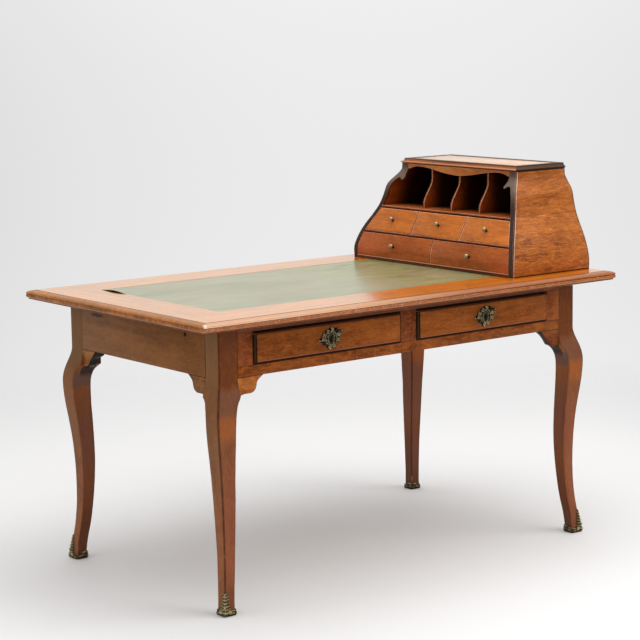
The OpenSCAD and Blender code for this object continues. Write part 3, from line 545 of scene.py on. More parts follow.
def facing_finish():
    """Dark front edge of the case, greyer and paler towards its ears."""
    made = wood("case_edge_wood", 2, TONE["case_edge"], 4.9)
    high = made.z - CASE_AT.z
    made.stain((high + (made.clouds - 0.5) * 0.02).rise(0.175, 0.235) * 0.8, TONE["ear"])
    made.stain(high.rise(0.262, 0.280) * 0.7, rgb(70, 50, 38))
    return made.build(specular=0.2, bump=0.2)


def cornice_finish():
    """Moulded cornice: orange-brown at the front, dark and greyed on its ends, with a painted highlight
    on its tip and painted shade in the cove under it and by its top arris.
    """
    made = wood("cornice_wood", 1, TONE["cornice"], 5.9, 0.9)
    high = made.z - CASE_AT.z - NECK
    from_end = CASE_HALF - SIDE_INSET - abs(made.y - CASE_AT.y)
    deep = made.x - CASE_AT.x
    front = (from_end - (deep - FRONT_INSET)).rise(*MITRE) * deep.fall(0.20, 0.21)
    # Painted highlight on the tip's fillet, painted shade in the cove under it
    made.stain(high.band(0.0056, 0.0010, 0.0020) * 0.6, TONE["rubbed"])
    made.stain(high.fall(0.0020, 0.0042) * 0.85, rgb(64, 28, 12))
    # The ends: darker low down, where the cove is painted in shade
    end_colour_with_cove_shade = made.mix(high.rise(0.002, 0.009), rgb(26, 18, 12), rgb(66, 48, 34))
    made.stain((1 - front) * 0.92, end_colour_with_cove_shade)
    # Painted shade on the steep top of the hollow, by the top arris
    made.stain(high.rise(0.0130, 0.0142) * 0.85, rgb(70, 42, 28))
    return made.build(specular=0.15, coat=0.08)


def small_front_finish(name, seed, mean, pale):
    """Front of a small drawer, with streaks across its grain as strong as pale says."""
    made = wood(name, 1, mean, seed, 0.75, 0.5)
    streaks = made.speckle((1, 1, 0.22), (seed, 0, 3), 120, 3, 0.6).rise(0.58, 0.70)
    made.stain(streaks * pale, shaded(mean, 1.5))
    lines = made.speckle((1, 0.10, 1), (seed, 0, 2), 170, 4, 0.65, 1.0).rise(0.53, 0.62)
    made.stain(lines * 0.4, shaded(mean, 0.60, 0.54, 0.5))
    return made.build(specular=0.16, coat=0.05, bump=0.12)


def leather_finish():
    """Faded green leather, polished, scuffed in long streaks, greener and worn to the right,
    pale at its cut edge."""
    made = Finish("writing_leather")
    x, mean = made.x, TONE["leather"]
    cloud = made.speckle((0.6, 1.3, 1), HERE, 5, 5, 0.6, 0.4)
    streak = made.speckle((0.25, 1.6, 1), HERE, 26, 5, 0.65, 0.3, (0, 0, 0.16))
    made.colour = made.ramp(0.5 + (cloud - 0.5) * 0.7 + (streak - 0.5) * 0.6,
                            (0.2, shaded(mean, 0.62, 0.68, 0.6)), (0.5, mean), (0.8, shaded(mean, 1.35)))
    made.stain(x.rise(-0.05, 0.20) * 0.7, rgb(133, 134, 80))
    bare = made.speckle((0.5, 1.4, 1), (4, 0, 0), 14, 5, 0.68).rise(0.48, 0.62)
    made.stain(bare * x.rise(0.02, 0.24) * 0.7, rgb(100, 104, 56))
    rosy = made.speckle((0.5, 1.1, 1), (7, 2, 0), 9, 3, 0.5, 0.8, (0, 0, 0.4)).rise(0.48, 0.66)
    made.stain(rosy * 0.4, rgb(158, 138, 112))
    dabs = made.speckle((0.35, 1.2, 1), (9, 3, 0), 36, 5, 0.7, 0, (0, 0, 0.2)).rise(0.52, 0.60)
    made.stain(dabs * x.rise(0.0, 0.2) * 0.4, rgb(170, 170, 116))
    scratches = made.speckle((0.12, 2.0, 1), HERE, 60, 3, 0.6, 0, (0, 0, -0.5)).rise(0.63, 0.72)
    made.stain(scratches * 0.25, rgb(186, 176, 132))
    inward = (LEATHER_HALF[0] - abs(x)).low(LEATHER_HALF[1] - abs(made.y))
    made.stain(inward.fall(0.0012, 0.0030) * 0.5, rgb(206, 178, 120))
    made.stain(made.facing("Z").fall(-0.2, 0.1), rgb(60, 38, 24))
    made.rough = 0.42 + streak * 0.14
    grain = made.node("TexVoronoi", {"Vector": made.place, "Scale": 620.0}, "Distance")
    made.height = grain * 0.5 + streak * 0.5
    return made.build(depth=0.0004, specular=0.35, coat=0.62 + (streak - 0.5) * 0.5)


def brass_finish(name, low, middle, high, rough=0.38):
    """Old cast brass: dark in the hollows and brighter where it stands out."""
    made = Finish(name)
    relief = made.painted("relief")
    patina = made.speckle(EVEN, HERE, 240, 4, 0.6)
    spots = made.speckle(EVEN, HERE, 620, 2, 0.5)
    made.colour = made.ramp(relief * 0.75 + (patina - 0.5) * 0.7 + 0.1,
                            (0.15, rgb(*low)), (0.5, rgb(*middle)), (0.85, rgb(*high)))
    made.rough = rough + spots * 0.18 + (1 - relief) * 0.15
    made.height = patina
    return made.build(metallic=0.75, bump=0.25, depth=0.0004, specular=0.5)


finishes = {
    "border_x": border_finish("border_long_wood", 0, 0.0),
    "border_y": border_finish("border_end_wood", 1, 2.4),
    "leather": leather_finish(),
    "end_apron": end_apron_finish(),
    "leg": leg_finish(),
    "case_side": case_side_finish(),
    "base": base_finish(),
    "facing": facing_finish(),
    "cornice": cornice_finish(),
    "inside": case_inside_finish("case_inside_wood", TONE["case_inside"]),
    "shelf": case_inside_finish("case_shelf_wood", TONE["shelf"]),
    "drawer_left": drawer_finish("left_drawer_wood", 0.9),
    "drawer_right": drawer_finish("right_drawer_wood", 8.9),
    "upper": small_front_finish("upper_drawer_wood", 1.1, TONE["upper"], 0.1),
    "lower": small_front_finish("lower_drawer_wood", 2.2, TONE["lower"], 0.35),
    # The case top's pale pinkish colour: partly the wood's own, partly a painted sheen
    "case_top": plain_finish("case_top_wood_and_sheen", 1, TONE["case_top"], 7.9, specular=0.5, coat=1.0),
}
# Look: name, axis of the grain, mean colour, where in the noise it lies
finishes.update({look: frame_finish(*sort) for look, sort in {
    "rail": ("front_rail_wood", 0, TONE["front_rail"], 1.3, 0.65),
    "back_apron": ("back_apron_wood", 0, TONE["end_apron"], 2.3),
    "stile": ("stile_wood", 2, TONE["stile"], 4.1, 0.45),
    "bracket": ("front_bracket_wood", 0, TONE["bracket"], 6.2),
    "bracket_pale": ("faded_bracket_wood", 0, TONE["bracket_pale"], 3.2),
    "bracket_end": ("end_bracket_wood", 1, TONE["bracket_end"], 5.2)}.items()})
finishes.update({look: plain_finish(*sort) for look, sort in {
    "shaded_underside": ("bracket_underside_shade", 0, TONE["shaded_underside"], 0.3),
    # Dark eased arrises: a painted dark line of shade along the edges
    "arris": ("arris_painted_shade", 0, rgb(66, 32, 16), 0.7),
    "case_back": ("case_back_wood", 1, TONE["lower"], 1.9),
    "board_edge": ("case_board_edge", 1, TONE["board_edge"], 3.9),
    # Pale eased arrises: a painted highlight along the edges
    "rubbed": ("rubbed_arris", 1, TONE["rubbed"], 3.7),
    "chalky": ("chalky_arris", 2, rgb(232, 190, 166), 3.3),
    # Near black in the rebates and under the boards: painted shade
    "gap": ("case_groove_shade", 1, rgb(14, 8, 6), 1.7),
    "valance": ("valance_wood", 1, TONE["valance"], 6.9),
    "lining": ("lining_wood", 0, TONE["lining"], 8.8),
    "lining_y": ("lining_end_wood", 1, TONE["lining"], 9.8),
    "ground": ("ground_wood", 0, rgb(40, 25, 16), 8.1)}.items()})
# Look: name, colour in the hollows, between and where it stands out
finishes.update({look: brass_finish(*sort) for look, sort in {
    "brass": ("dark_brass", (20, 14, 9), (88, 74, 44), (206, 190, 142)),
    "plate": ("plate_brass", (12, 9, 6), (58, 47, 28), (214, 198, 148)),
    "knob": ("knob_brass", (18, 13, 8), (82, 68, 43), (176, 160, 118), 0.14),
    "steel": ("lock_steel", (50, 48, 44), (96, 92, 86), (140, 136, 128))}.items()})


# ---- Pieces ----

def added(name, data):
    """A new object in the scene."""
    made = bpy.data.objects.new(name, data)
    bpy.context.scene.collection.objects.link(made)
    return made


def mesh_of(bm, name, materials):
    """The bmesh as a mesh in these materials."""
    mesh = bpy.data.meshes.new(name)
    bm.to_mesh(mesh)
    bm.free()
    for material in materials:
        mesh.materials.append(material)
    return mesh


def in_place(bm, node, looks, sharp=32):
    """Shows the bmesh in the node's place, smooth but for edges over sharp degrees."""
    bmesh.ops.recalc_face_normals(bm, faces=bm.faces)
    for edge in bm.edges:
        edge.smooth = len(edge.link_faces) == 2 and edge.calc_face_angle(0) < math.radians(sharp)
    for face in bm.faces:
        face.smooth = True
    name = node + "_shown"
    piece = added(name, mesh_of(bm, name, [finishes[look] for look in looks]))
    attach(piece, BODY_OF[node])
    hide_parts(node)


def closed_loop(bm, verts):
    """Edges from each vertex to the next, and from the last to the first."""
    return [bm.edges.new((vert, verts[(i + 1) % len(verts)])) for i, vert in enumerate(verts)]


def bridge_up(bm, rings, lids=True):
    """Walls between successive loops, with lids on the first and last."""
    for first, second in zip(rings, rings[1:]):
        bmesh.ops.bridge_loops(bm, edges=first + second)
    if lids:
        bmesh.ops.holes_fill(bm, edges=rings[0] + rings[-1], sides=0)


def cut_level(bm, parts, z):
    bmesh.ops.bisect_plane(bm, geom=parts, plane_co=(0, 0, z), plane_no=(0, 0, 1), dist=CUT)


def cut_rebate(bm, height, depth):
    """Cuts a step of this height and depth into the foot of a board's front edge."""
    top = min(v.co.z for v in bm.verts) + height
    front = [f for f in bm.faces if f.normal.x < FORWARD]
    for z in (top, top - 0.0004):
        cut_level(bm, list(dict.fromkeys(g for f in front for g in (f, *f.edges, *f.verts))), z)
        bm.normal_update()
        front = [f for f in bm.faces if f.normal.x < FORWARD]
    for vert in {v for f in front for v in f.verts if v.co.z < top - 0.0003}:
        vert.co.x += depth


def ease(bm, width, choose, sharp=28):
    """Eases the arrises over sharp degrees and gives each face the look that choose names for it."""
    bmesh.ops.recalc_face_normals(bm, faces=bm.faces)
    cut = set()
    if width:
        arrises = [e for e in bm.edges
                   if len(e.link_faces) == 2 and e.calc_face_angle(0) > math.radians(sharp)]
        cut = set(bmesh.ops.bevel(bm, geom=arrises, offset=width, offset_type="OFFSET", segments=2,
                                  profile=0.5, affect="EDGES", material=-1, clamp_overlap=True)["faces"])
        bm.normal_update()
    for face in bm.faces:
        face.material_index = choose(face, face in cut)


def eased(node, looks, width, choose=None, rebate=None):
    """The node's own shape with its arrises eased, shown in the node's place. The first look is
    for its faces and the last for the eased arrises, unless choose tells them apart otherwise."""
    bm = bmesh.new()
    bm.from_mesh(nodes[node].data)
    bmesh.ops.remove_doubles(bm, verts=bm.verts, dist=WELD)
    bmesh.ops.dissolve_limit(bm, angle_limit=math.radians(FLAT), verts=bm.verts, edges=bm.edges)
    if rebate:
        cut_rebate(bm, *rebate)
    last = len(looks) - 1
    ease(bm, width, choose or (lambda face, arris: last if arris else 0))
    in_place(bm, node, looks)


def curve_at(points, t):
    """Value at t of the smooth curve through the points. It runs level at both ends and beyond."""
    t = min(max(t, points[0][0]), points[-1][0])
    i = next((k for k in range(len(points) - 2) if t <= points[k + 1][0]), len(points) - 2)

    def slope(k):
        if k in (0, len(points) - 1):
            return 0.0
        return (points[k + 1][1] - points[k - 1][1]) / (points[k + 1][0] - points[k - 1][0])

    wide = points[i + 1][0] - points[i][0]
    s = (t - points[i][0]) / wide
    return ((2 * s ** 3 - 3 * s ** 2 + 1) * points[i][1] + (s ** 3 - 2 * s ** 2 + s) * wide * slope(i)
            + (3 * s ** 2 - 2 * s ** 3) * points[i + 1][1] + (s ** 3 - s ** 2) * wide * slope(i + 1))


# ---- Legs, brackets and shoes ----

# Between these heights a leg turns into its post: the rounding of its arrises, how worn they are and
# their painted dark line of shade change
KNEE = (0.540, 0.590)
# Rounding below and above
LEG_ROUND = (0.0030, 0.0020)
LEG_RINGS = 90
MID_POST = 0.66
# How worn, and how dark with painted shade, below: of the innermost arris of front and back legs,
# and of the two beside it
INNER_WEAR_AND_SHADE = {FRONT: 0.5, BACK: 0.95}
SIDE_WEAR_AND_SHADE = 0.65
DENTS_FROM = 0.03
DENT_DEEP = 0.0005
DENTS_PER_METRE = 22


def leg_section(z):
    """Outer and inner reach of a leg at height z, in X and in Y, from the post's outer corner inwards."""
    outside = KNEE_OUT * curve_at(LEG_OUTSIDE, z / LEG_HEIGHT)
    inside_x, inside_y = (POST * curve_at(line, z / LEG_HEIGHT) for line in (LEG_INSIDE_X, LEG_INSIDE_Y))
    stand = FOOT_IN * max(0, 1 - z / (0.8 * LEG_HEIGHT))
    return (stand - outside, stand + inside_x), (-outside, inside_y)


def rounded_ring(bm, span_x, span_y, radius, height_of, layer, wear_and_shade=(1, 1, 1, 1),
                 between=(0.16, 0.5, 0.84)):
    """A closed loop round a rectangle with rounded corners, each of three steps. The layer holds
    how worn each corner is and how dark its painted line of shade, the outermost corner's being the
    third, and 0 between the corners."""
    corners = [(span_x[i], span_y[j]) for i, j in ((1, 1), (0, 1), (0, 0), (1, 0))]
    verts = []

    def add(x, y, worn):
        verts.append(bm.verts.new((x, y, height_of(x, y))))
        verts[-1][layer] = worn

    for index, (x, y) in enumerate(corners):
        middle_x = x - radius * (1 if x == span_x[1] else -1)
        middle_y = y - radius * (1 if y == span_y[1] else -1)
        for turn in (math.radians(90 * index + 30 * step) for step in range(4)):
            add(middle_x + radius * math.cos(turn), middle_y + radius * math.sin(turn), wear_and_shade[index])
        next_x, next_y = corners[(index + 1) % 4]
        for share in between:
            add(x + (next_x - x) * share, y + (next_y - y) * share, 0.0)
    return closed_loop(bm, verts)


def to_corner(bm, sx, sy, verts=None):
    """Moves what is made at the origin to the leg at the corner sx, sy."""
    verts = verts or bm.verts[:]
    bmesh.ops.transform(bm, matrix=Matrix.Diagonal((-sx, -sy, 1, 1)), verts=verts)
    bmesh.ops.translate(bm, vec=(sx * FRAME_HALF[0], sy * FRAME_HALF[1], 0), verts=verts)


def leg(name, sx, sy):
    """A leg with its post, sharper above the knee, where its arrises are less worn and their painted line
    of shade fainter, with small dents below it.
    """
    bm = bmesh.new()
    arris = bm.verts.layers.float.new("arris")
    heights = [SOLE + (LEG_HEIGHT - SOLE) * i / LEG_RINGS for i in range(LEG_RINGS + 1)]
    rings = []
    for z in heights + [MID_POST, POST_TOP]:
        above = min(1, max(0, (z - KNEE[0]) / (KNEE[1] - KNEE[0])))
        radius = LEG_ROUND[0] + (LEG_ROUND[1] - LEG_ROUND[0]) * above
        side = SIDE_WEAR_AND_SHADE - 0.5 * above
        wear_and_shade = (INNER_WEAR_AND_SHADE[sy] - 0.4 * above, side, 1.0, side)
        rings.append(rounded_ring(bm, *leg_section(z), radius, lambda x, y: z, arris, wear_and_shade))
    bridge_up(bm, rings)
    for vert in bm.verts:
        if DENTS_FROM < vert.co.z < KNEE[1]:
            dent = noise.noise(vert.co * DENTS_PER_METRE + Vector((sx * 7, sy * 5, 0)))
            outward = Vector((vert.co.x - 0.01, vert.co.y - 0.01, 0)).normalized()
            vert.co -= outward * max(0, dent) * DENT_DEEP
    to_corner(bm, sx, sy)
    in_place(bm, name, ["leg"], 40)


# Outlines of the knee brackets in millimetres: along the apron from the post, and down from it.
# Each has its face and its back, which the undercut ones carry further out and down.
STEPPED = [(-8, 0), (-8, 57), (-3, 53.5), (2, 50.5), (6.5, 47.6), (11, 45.3), (17, 43.6), (24, 43.2),
           (32, 43.4), (40, 43.4), (47, 41), (52, 37.2), (55.3, 32), (57.3, 26.5), (58.4, 20), (61, 14),
           (65.5, 9.4), (79, 0)]
SLANTED_FACE = [(-8, 0), (-8, 51), (-3, 50.4), (2, 49.6), (8, 48.6), (14, 47.8), (20, 47.2), (25, 46.8),
                (29, 46.2), (32.5, 44.8), (36.2, 42), (39.5, 37.5), (43, 33), (47.2, 27.8), (51, 23.4),
                (54.5, 19.3), (60, 12.5), (70, 0)]
SLANTED_BACK = [(-8, 0), (-8, 58), (-3, 55.5), (2, 53.5), (7, 51.4), (12, 49.6), (17, 48), (22, 46.4),
                (28, 45), (33, 42.6), (36.6, 38), (40, 33), (44.2, 27.4), (48.5, 22), (53, 17), (58.5, 12),
                (66, 6.4), (76, 0)]
NOSED_FACE = [(-8, 0), (-8, 50), (-3, 49), (3, 48), (9, 47.3), (15, 46.5), (20, 45), (24, 42.5),
              (28.5, 38.5), (31, 35.3), (34, 31.4), (37, 27.6), (41, 23.2), (45, 18.7), (49, 14.5),
              (53, 10), (58, 5), (64, 0)]
NOSED_BACK = [(-8, 0), (-8, 58), (-3, 56), (3, 54), (10.3, 51.6), (16, 49.4), (23, 46.3), (29, 43.4),
              (33.2, 39), (35, 34.5), (36, 30), (37.6, 26.4), (40.5, 22.6), (45, 19.6), (52, 18.2),
              (61, 16.3), (73, 10.5), (80, 0)]
BRACKETS = {"front_left": (STEPPED, STEPPED), "front_right": (SLANTED_FACE, SLANTED_BACK),
            "back_left": (NOSED_FACE, NOSED_BACK), "back_right": (NOSED_FACE, NOSED_BACK)}


def knee_brackets():
    """Six shaped blocks between the legs and the aprons, each bridged from its face to its back."""
    bm = bmesh.new()
    for corner, (sx, sy) in CORNERS.items():
        for under_end in (True, False) if sy == FRONT else (True,):
            before = set(bm.verts)
            loops = []
            for outline, deep in zip(BRACKETS[corner], (0.0, BRACKET_DEPTH)):
                spots = [(POST + u / 1000, LEG_HEIGHT - v / 1000) for u, v in outline]
                spots = [(deep, u, v) if under_end else (u, deep, v) for u, v in spots]
                loops.append(closed_loop(bm, [bm.verts.new(spot) for spot in spots]))
            bridge_up(bm, loops)
            to_corner(bm, sx, sy, [v for v in bm.verts if v not in before])

    # The undersides and hidden faces take a near-black look, painted shade; the eased arrises a painted dark
    # line of shade
    def look(face, arris):
        if arris:
            return 4
        at = face.calc_center_median()
        if abs(face.normal.x) > 0.93 and abs(at.x) > FRAME_HALF[0] - 0.002:
            return 2
        if face.normal.y < -0.93 and at.y < 0.002 - FRAME_HALF[1]:
            return 0 if at.x < 0 else 1
        return 3

    ease(bm, 0.0010, look)
    in_place(bm, "knee_brackets", ["bracket", "bracket_pale", "bracket_end", "shaded_underside", "arris"])


ALONG, ACROSS, UP = Vector((1, 0, 0)), Vector((0, 1, 0)), Vector((0, 0, 1))
# How far a volute reaches from its eye
VOLUTE = 0.0052


def relief_of(bm):
    """The layer that says how bright the brass is, from its hollows to what stands out."""
    return bm.verts.layers.float.get("relief") or bm.verts.layers.float.new("relief")


def bead(bm, at, radius, shine=0.9, squash=EVEN):
    layer = relief_of(bm)
    made = bmesh.ops.create_icosphere(bm, subdivisions=2, radius=radius)["verts"]
    bmesh.ops.scale(bm, vec=squash, verts=made)
    bmesh.ops.translate(bm, vec=at, verts=made)
    for vert in made:
        vert[layer] = shine


def tube(bm, path, radii, sides=8, shine=0.9):
    """A rod along a path, thick as radii says, with closed ends."""
    layer = relief_of(bm)
    rings = []
    for i, point in enumerate(path):
        ahead = (path[min(i + 1, len(path) - 1)] - path[max(i - 1, 0)]).normalized()
        turn = ahead.to_track_quat("Z", "Y").to_matrix().to_4x4()
        verts = bmesh.ops.create_circle(bm, cap_ends=False, radius=radii[i], segments=sides,
                                        matrix=Matrix.Translation(point) @ turn)["verts"]
        for vert in verts:
            vert[layer] = shine
        rings.append(list(dict.fromkeys(edge for vert in verts for edge in vert.link_edges)))
    bridge_up(bm, rings)


def scroll(bm, centre, across, turns, thick, start, hand):
    """A volute: a tapering rod that curls in to its eye in the upright plane through across."""
    count = int(14 * turns)
    path, radii = [], []
    for i in range(count + 1):
        share = i / count
        turn = start + hand * share * turns * 2 * math.pi
        reach = VOLUTE * (1 - 0.72 * share)
        path.append(centre + (across * math.cos(turn) + UP * math.sin(turn)) * reach)
        radii.append(thick * (1 - 0.35 * share))
    tube(bm, path, radii)
    bead(bm, centre, thick * 1.15)


# A shoe's wall: share of the way up to the rim, how far it stands off the leg in mm, and its shine.
# The dull lowest rows are painted shade where the shoe meets the floor.
SHOE_WALL = [(0.0, 1.6, 0.0), (0.10, 3.1, 0.1), (0.30, 3.9, 0.5), (0.50, 3.7, 0.8), (0.66, 3.1, 0.6),
             (0.80, 2.4, 0.25), (0.88, 2.8, 0.95), (0.95, 3.1, 1.0), (1.0, 2.4, 0.8), (1.0, 0.4, 0.1)]
# The rim's height in the middle of a side and what it swings up by at a corner, and its rounding
SHOE_HIGH = 0.0138
SHOE_SWING = 0.0062
SHOE_ROUND = 0.0046
ALONG_SHOE = (0.08, 0.22, 0.36, 0.5, 0.64, 0.78, 0.92)
LEAF_FOOT = 0.010
LEAF_SCALES = 7
STEPS_PER_SCALE = 6


def shoe_wall(bm, relief):
    """A boat-shaped foot whose roped rim swings up to each corner."""
    rings = []
    for share, off, shine in SHOE_WALL:
        spans = [(low - off / 1000, high + off / 1000) for low, high in leg_section(0.004 + 0.014 * share)]
        middle_x, middle_y = ((low + high) / 2 for low, high in spans)
        reach_x, reach_y = ((high - low) / 2 for low, high in spans)

        def swung(x, y):
            inward = max((x - middle_x) / reach_x + (y - middle_y) / reach_y, 0)
            swing = math.sin(min(inward / 1.3, 1) * math.pi / 2) ** 1.5 - 0.25 * max(inward - 1.4, 0)
            return share * (SHOE_HIGH + SHOE_SWING * swing)

        ring = rounded_ring(bm, *spans, SHOE_ROUND, swung, relief, between=ALONG_SHOE)
        for vert in {v for e in ring for v in e.verts}:
            ribs = 0.5 + 0.5 * math.cos(900 * (vert.co.x - vert.co.y) + 260 * vert.co.z)
            vert[relief] = shine * (0.45 + 0.55 * ribs)
        rings.append(ring)
    bridge_up(bm, rings)


def shoe_leaf(bm, relief):
    """A leaf of overlapping scales up the leg's outer arris, with a row of beads down its middle."""
    strip = []
    count = LEAF_SCALES * STEPS_PER_SCALE
    for i in range(count + 1):
        share = i / count
        z = LEAF_FOOT + (LEAF - LEAF_FOOT) * share
        (x, _), (y, _) = leg_section(z)
        lap = 1 - (share * LEAF_SCALES) % 1.0
        wide = (0.0150 * (1 - share) ** 0.6 + 0.0016) * (0.78 + 0.34 * lap)
        proud = (0.0012 + 0.0034 * (1 - share) ** 1.3) * (0.55 + 0.75 * lap)
        verts = []
        for k in range(-4, 5):
            out = abs(k) / 4
            ridge = proud * (1.15 - 0.75 * out ** 1.5) + 0.0003
            if k < 0:
                at = (x + wide * out, y - ridge)
            elif k > 0:
                at = (x - ridge, y + wide * out)
            else:
                at = (x - ridge * 0.8, y - ridge * 0.8)
            vert = bm.verts.new((*at, z + 0.0020 * out ** 2))
            vert[relief] = (0.30 + 0.70 * lap ** 1.5) * (1.0 - 0.3 * out)
            verts.append(vert)
        strip.append([bm.edges.new(pair) for pair in zip(verts, verts[1:])])
    bridge_up(bm, strip, lids=False)
    for i in range(4):
        z, proud = 0.024 + i * 0.0100, 0.0040 - i * 0.0007
        (x, _), (y, _) = leg_section(z)
        bead(bm, (x - proud, y - proud, z), 0.0026 - i * 0.0003, 1.0, (1, 1, 0.8))


def sabot(name, sx, sy):
    """Cast brass shoe with a round toe between two volutes."""
    bm = bmesh.new()
    relief = relief_of(bm)
    shoe_wall(bm, relief)
    shoe_leaf(bm, relief)
    (x, _), (y, _) = leg_section(0.008)
    toe = Vector((x, y, 0))
    bead(bm, toe + Vector((-0.0010, -0.0010, 0.0066)), 0.0062, 0.5, (1, 1, 0.95))
    bead(bm, toe + Vector((-0.0030, -0.0052, 0.0105)), 0.0024, 1.0)
    bead(bm, toe + Vector((0.0016, -0.0058, 0.0100)), 0.0020, 1.0)
    for across, aside in ((ALONG, (0.0120, -0.0046, 0.0105)), (ACROSS, (-0.0046, 0.0120, 0.0105))):
        scroll(bm, toe + Vector(aside), across, 1.4, 0.0018, math.pi, -1)
    to_corner(bm, sx, sy)
    in_place(bm, name, ["brass"], 50)


# ---- Top and drawers ----

# Where along the left edge the leather has come loose, how high it arches and how far in
LOOSE_FROM = 0.142
LOOSE_ARCH = 0.0050
LOOSE_IN = 0.075


def leather():
    """One hide, let into the border; its far left edge has come loose and arches up."""
    bm = bmesh.new()
    bmesh.ops.create_grid(bm, x_segments=170, y_segments=88, size=1.0)
    for vert in bm.verts:
        x, y = vert.co.x * LEATHER_HALF[0], vert.co.y * LEATHER_HALF[1]
        from_left = x + LEATHER_HALF[0]
        along = min(max((y - LOOSE_FROM) / (LEATHER_HALF[1] - LOOSE_FROM), 0), 1)
        arch = math.sin(math.pi * min(along * 0.93, 1)) ** 1.3 if along > 0 else 0
        lift = LOOSE_ARCH * arch * max(0, 1 - from_left / LOOSE_IN) ** 2
        wave = 0.0002 * noise.noise(Vector((x * 9, y * 14, 0)))
        vert.co = Vector((x + 0.002 * arch * max(0, 1 - from_left / 0.03), y, LEATHER_TOP + lift + wave))
    bmesh.ops.solidify(bm, geom=bm.faces[:], thickness=LEATHER_THICK)
    in_place(bm, "writing_leather", ["leather"], 60)


# A keyhole plate's leafy points: direction and half width in degrees, and reach beyond the oval
PLATE_POINTS = [(22, 15, 0.0175), (-12, 10, 0.0070), (52, 12, 0.0080), (88, 20, 0.0050),
                (128, 12, 0.0040), (158, 12, 0.0060), (187, 14, 0.0165), (214, 11, 0.0080),
                (244, 12, 0.0050), (264, 14, 0.0080), (298, 13, 0.0060)]
# Its curved ribs: centre, half width and half height, first and last direction, and thickness
PLATE_RIBS = [(0, -0.002, 0.0110, 0.0165, 0, 360, 0.0013), (-0.002, 0.001, 0.0165, 0.0205, 100, 250, 0.0016),
              (0.001, -0.002, 0.0175, 0.0200, -70, 80, 0.0016),
              (-0.005, 0.004, 0.0235, 0.0170, 128, 200, 0.0013),
              (0.006, -0.006, 0.0220, 0.0160, -52, 24, 0.0015),
              (0.030, -0.004, 0.0160, 0.0185, 150, 66, 0.0011),
              (0.027, 0.001, 0.0110, 0.0090, 130, 20, 0.0009),
              (-0.030, 0.003, 0.0110, 0.0090, 200, 310, 0.0010)]
# Its volutes: eye, hand, and the direction they start in
PLATE_SCROLLS = [(0.026, 0.007, 1, 2.6), (0.024, -0.008, -1, 3.4), (-0.027, -0.004, 1, 5.8),
                 (-0.024, 0.009, -1, 0.3), (0.004, 0.022, 1, 4.0), (-0.006, -0.023, -1, 1.6),
                 (0.009, -0.020, 1, 2.4), (-0.010, 0.018, -1, 5.2)]
PLATE_BEADS = [(0.0355, 0.0143), (-0.0370, -0.0046), (0.001, 0.0258), (-0.003, -0.0285), (0.0, 0.0165)]
PLATE_OVAL = 0.0225
# Vertices round the plate, rings from the keyhole to the rim, and the gap behind the plate
PLATE_AROUND = 120
PLATE_LEVELS = 11
PLATE_OFF = 0.0002
# Half the keyhole's width and height, and how far it lies below the middle
KEYHOLE = Vector((0.0042 * 0.8, 0.0042 * 1.9))
KEYHOLE_DOWN = 0.004
RIB_STEPS = 18
RIB_LIFT = 0.0026


def keyhole_plate(name, side):
    """Cast plate with leafy points, ribs and scrolls round a raised oval and a keyhole."""
    bm = bmesh.new()
    relief = relief_of(bm)

    def reach_at(turn):
        reach = PLATE_OVAL + 0.0007 * math.cos(22 * turn)
        for at, wide, beyond in PLATE_POINTS:
            apart = (math.degrees(turn) - at + 180) % 360 - 180
            reach += beyond * math.exp(-(apart / wide) ** 2)
        return reach

    rings = []
    for level in range(PLATE_LEVELS + 1):
        share = level / PLATE_LEVELS
        dome = math.sin(math.pi * (0.18 + 0.70 * share)) ** 0.7
        verts = []
        for i in range(PLATE_AROUND):
            turn = 2 * math.pi * i / PLATE_AROUND
            way = Vector((math.cos(turn), math.sin(turn)))
            slot = Vector((KEYHOLE.x * way.x, KEYHOLE.y * way.y - KEYHOLE_DOWN))
            at = slot.lerp(way * reach_at(turn), share)
            ribs = 0.5 + 0.5 * math.cos(11 * turn + 5 * share)
            high = 0.0009 + 0.0022 * dome * (0.45 + 0.55 * ribs * share + 0.25 * (1 - share))
            vert = bm.verts.new((at.x, -high if level < PLATE_LEVELS else 0.0, at.y))
            vert[relief] = 0.02 + 0.6 * ribs ** 3 * dome + 0.36 * (1 - share) ** 2 if level else 0.0
            verts.append(vert)
        rings.append(closed_loop(bm, verts))
    bridge_up(bm, rings, lids=False)
    # The keyhole is closed with a face on a ring kept at relief 0, near black: painted shade in the hole
    bmesh.ops.holes_fill(bm, edges=rings[0], sides=0)

    shares = [i / RIB_STEPS for i in range(RIB_STEPS + 1)]
    for x, z, half_x, half_z, start, stop, thick in PLATE_RIBS:
        turns = [math.radians(start + (stop - start) * share) for share in shares]
        path = [Vector((x + half_x * math.cos(t), -RIB_LIFT, z + half_z * math.sin(t))) for t in turns]
        radii = [thick * (0.45 + 0.55 * math.sin(math.pi * share) ** 0.6) for share in shares]
        tube(bm, path, radii, 7, 0.7)
    for x, z, hand, start in PLATE_SCROLLS:
        scroll(bm, Vector((x, -RIB_LIFT, z)), ALONG, 1.1, 0.0012, start, hand)
    for x, z in PLATE_BEADS:
        bead(bm, (x, -0.0018, z), 0.0019, 1.0)
    bmesh.ops.translate(bm, vec=(side * DRAWER_X, PLATE_BACK - PLATE_OFF, LOCK_Z), verts=bm.verts)
    in_place(bm, name, ["plate"], 60)


# ---- Letter case ----

# Half outline of a turned knob: height from its base, and radius
KNOB = [(0.0, 0.0), (0.0, 0.0040), (0.0006, 0.0044), (0.0012, 0.0040), (0.0019, 0.0028),
        (0.0044, 0.0025), (0.0056, 0.0032), (0.0064, 0.0048), (0.0080, 0.0063), (0.0102, 0.0070),
        (0.0124, 0.0067), (0.0144, 0.0054), (0.0158, 0.0034), (0.0166, 0.0016), (0.0168, 0.0)]


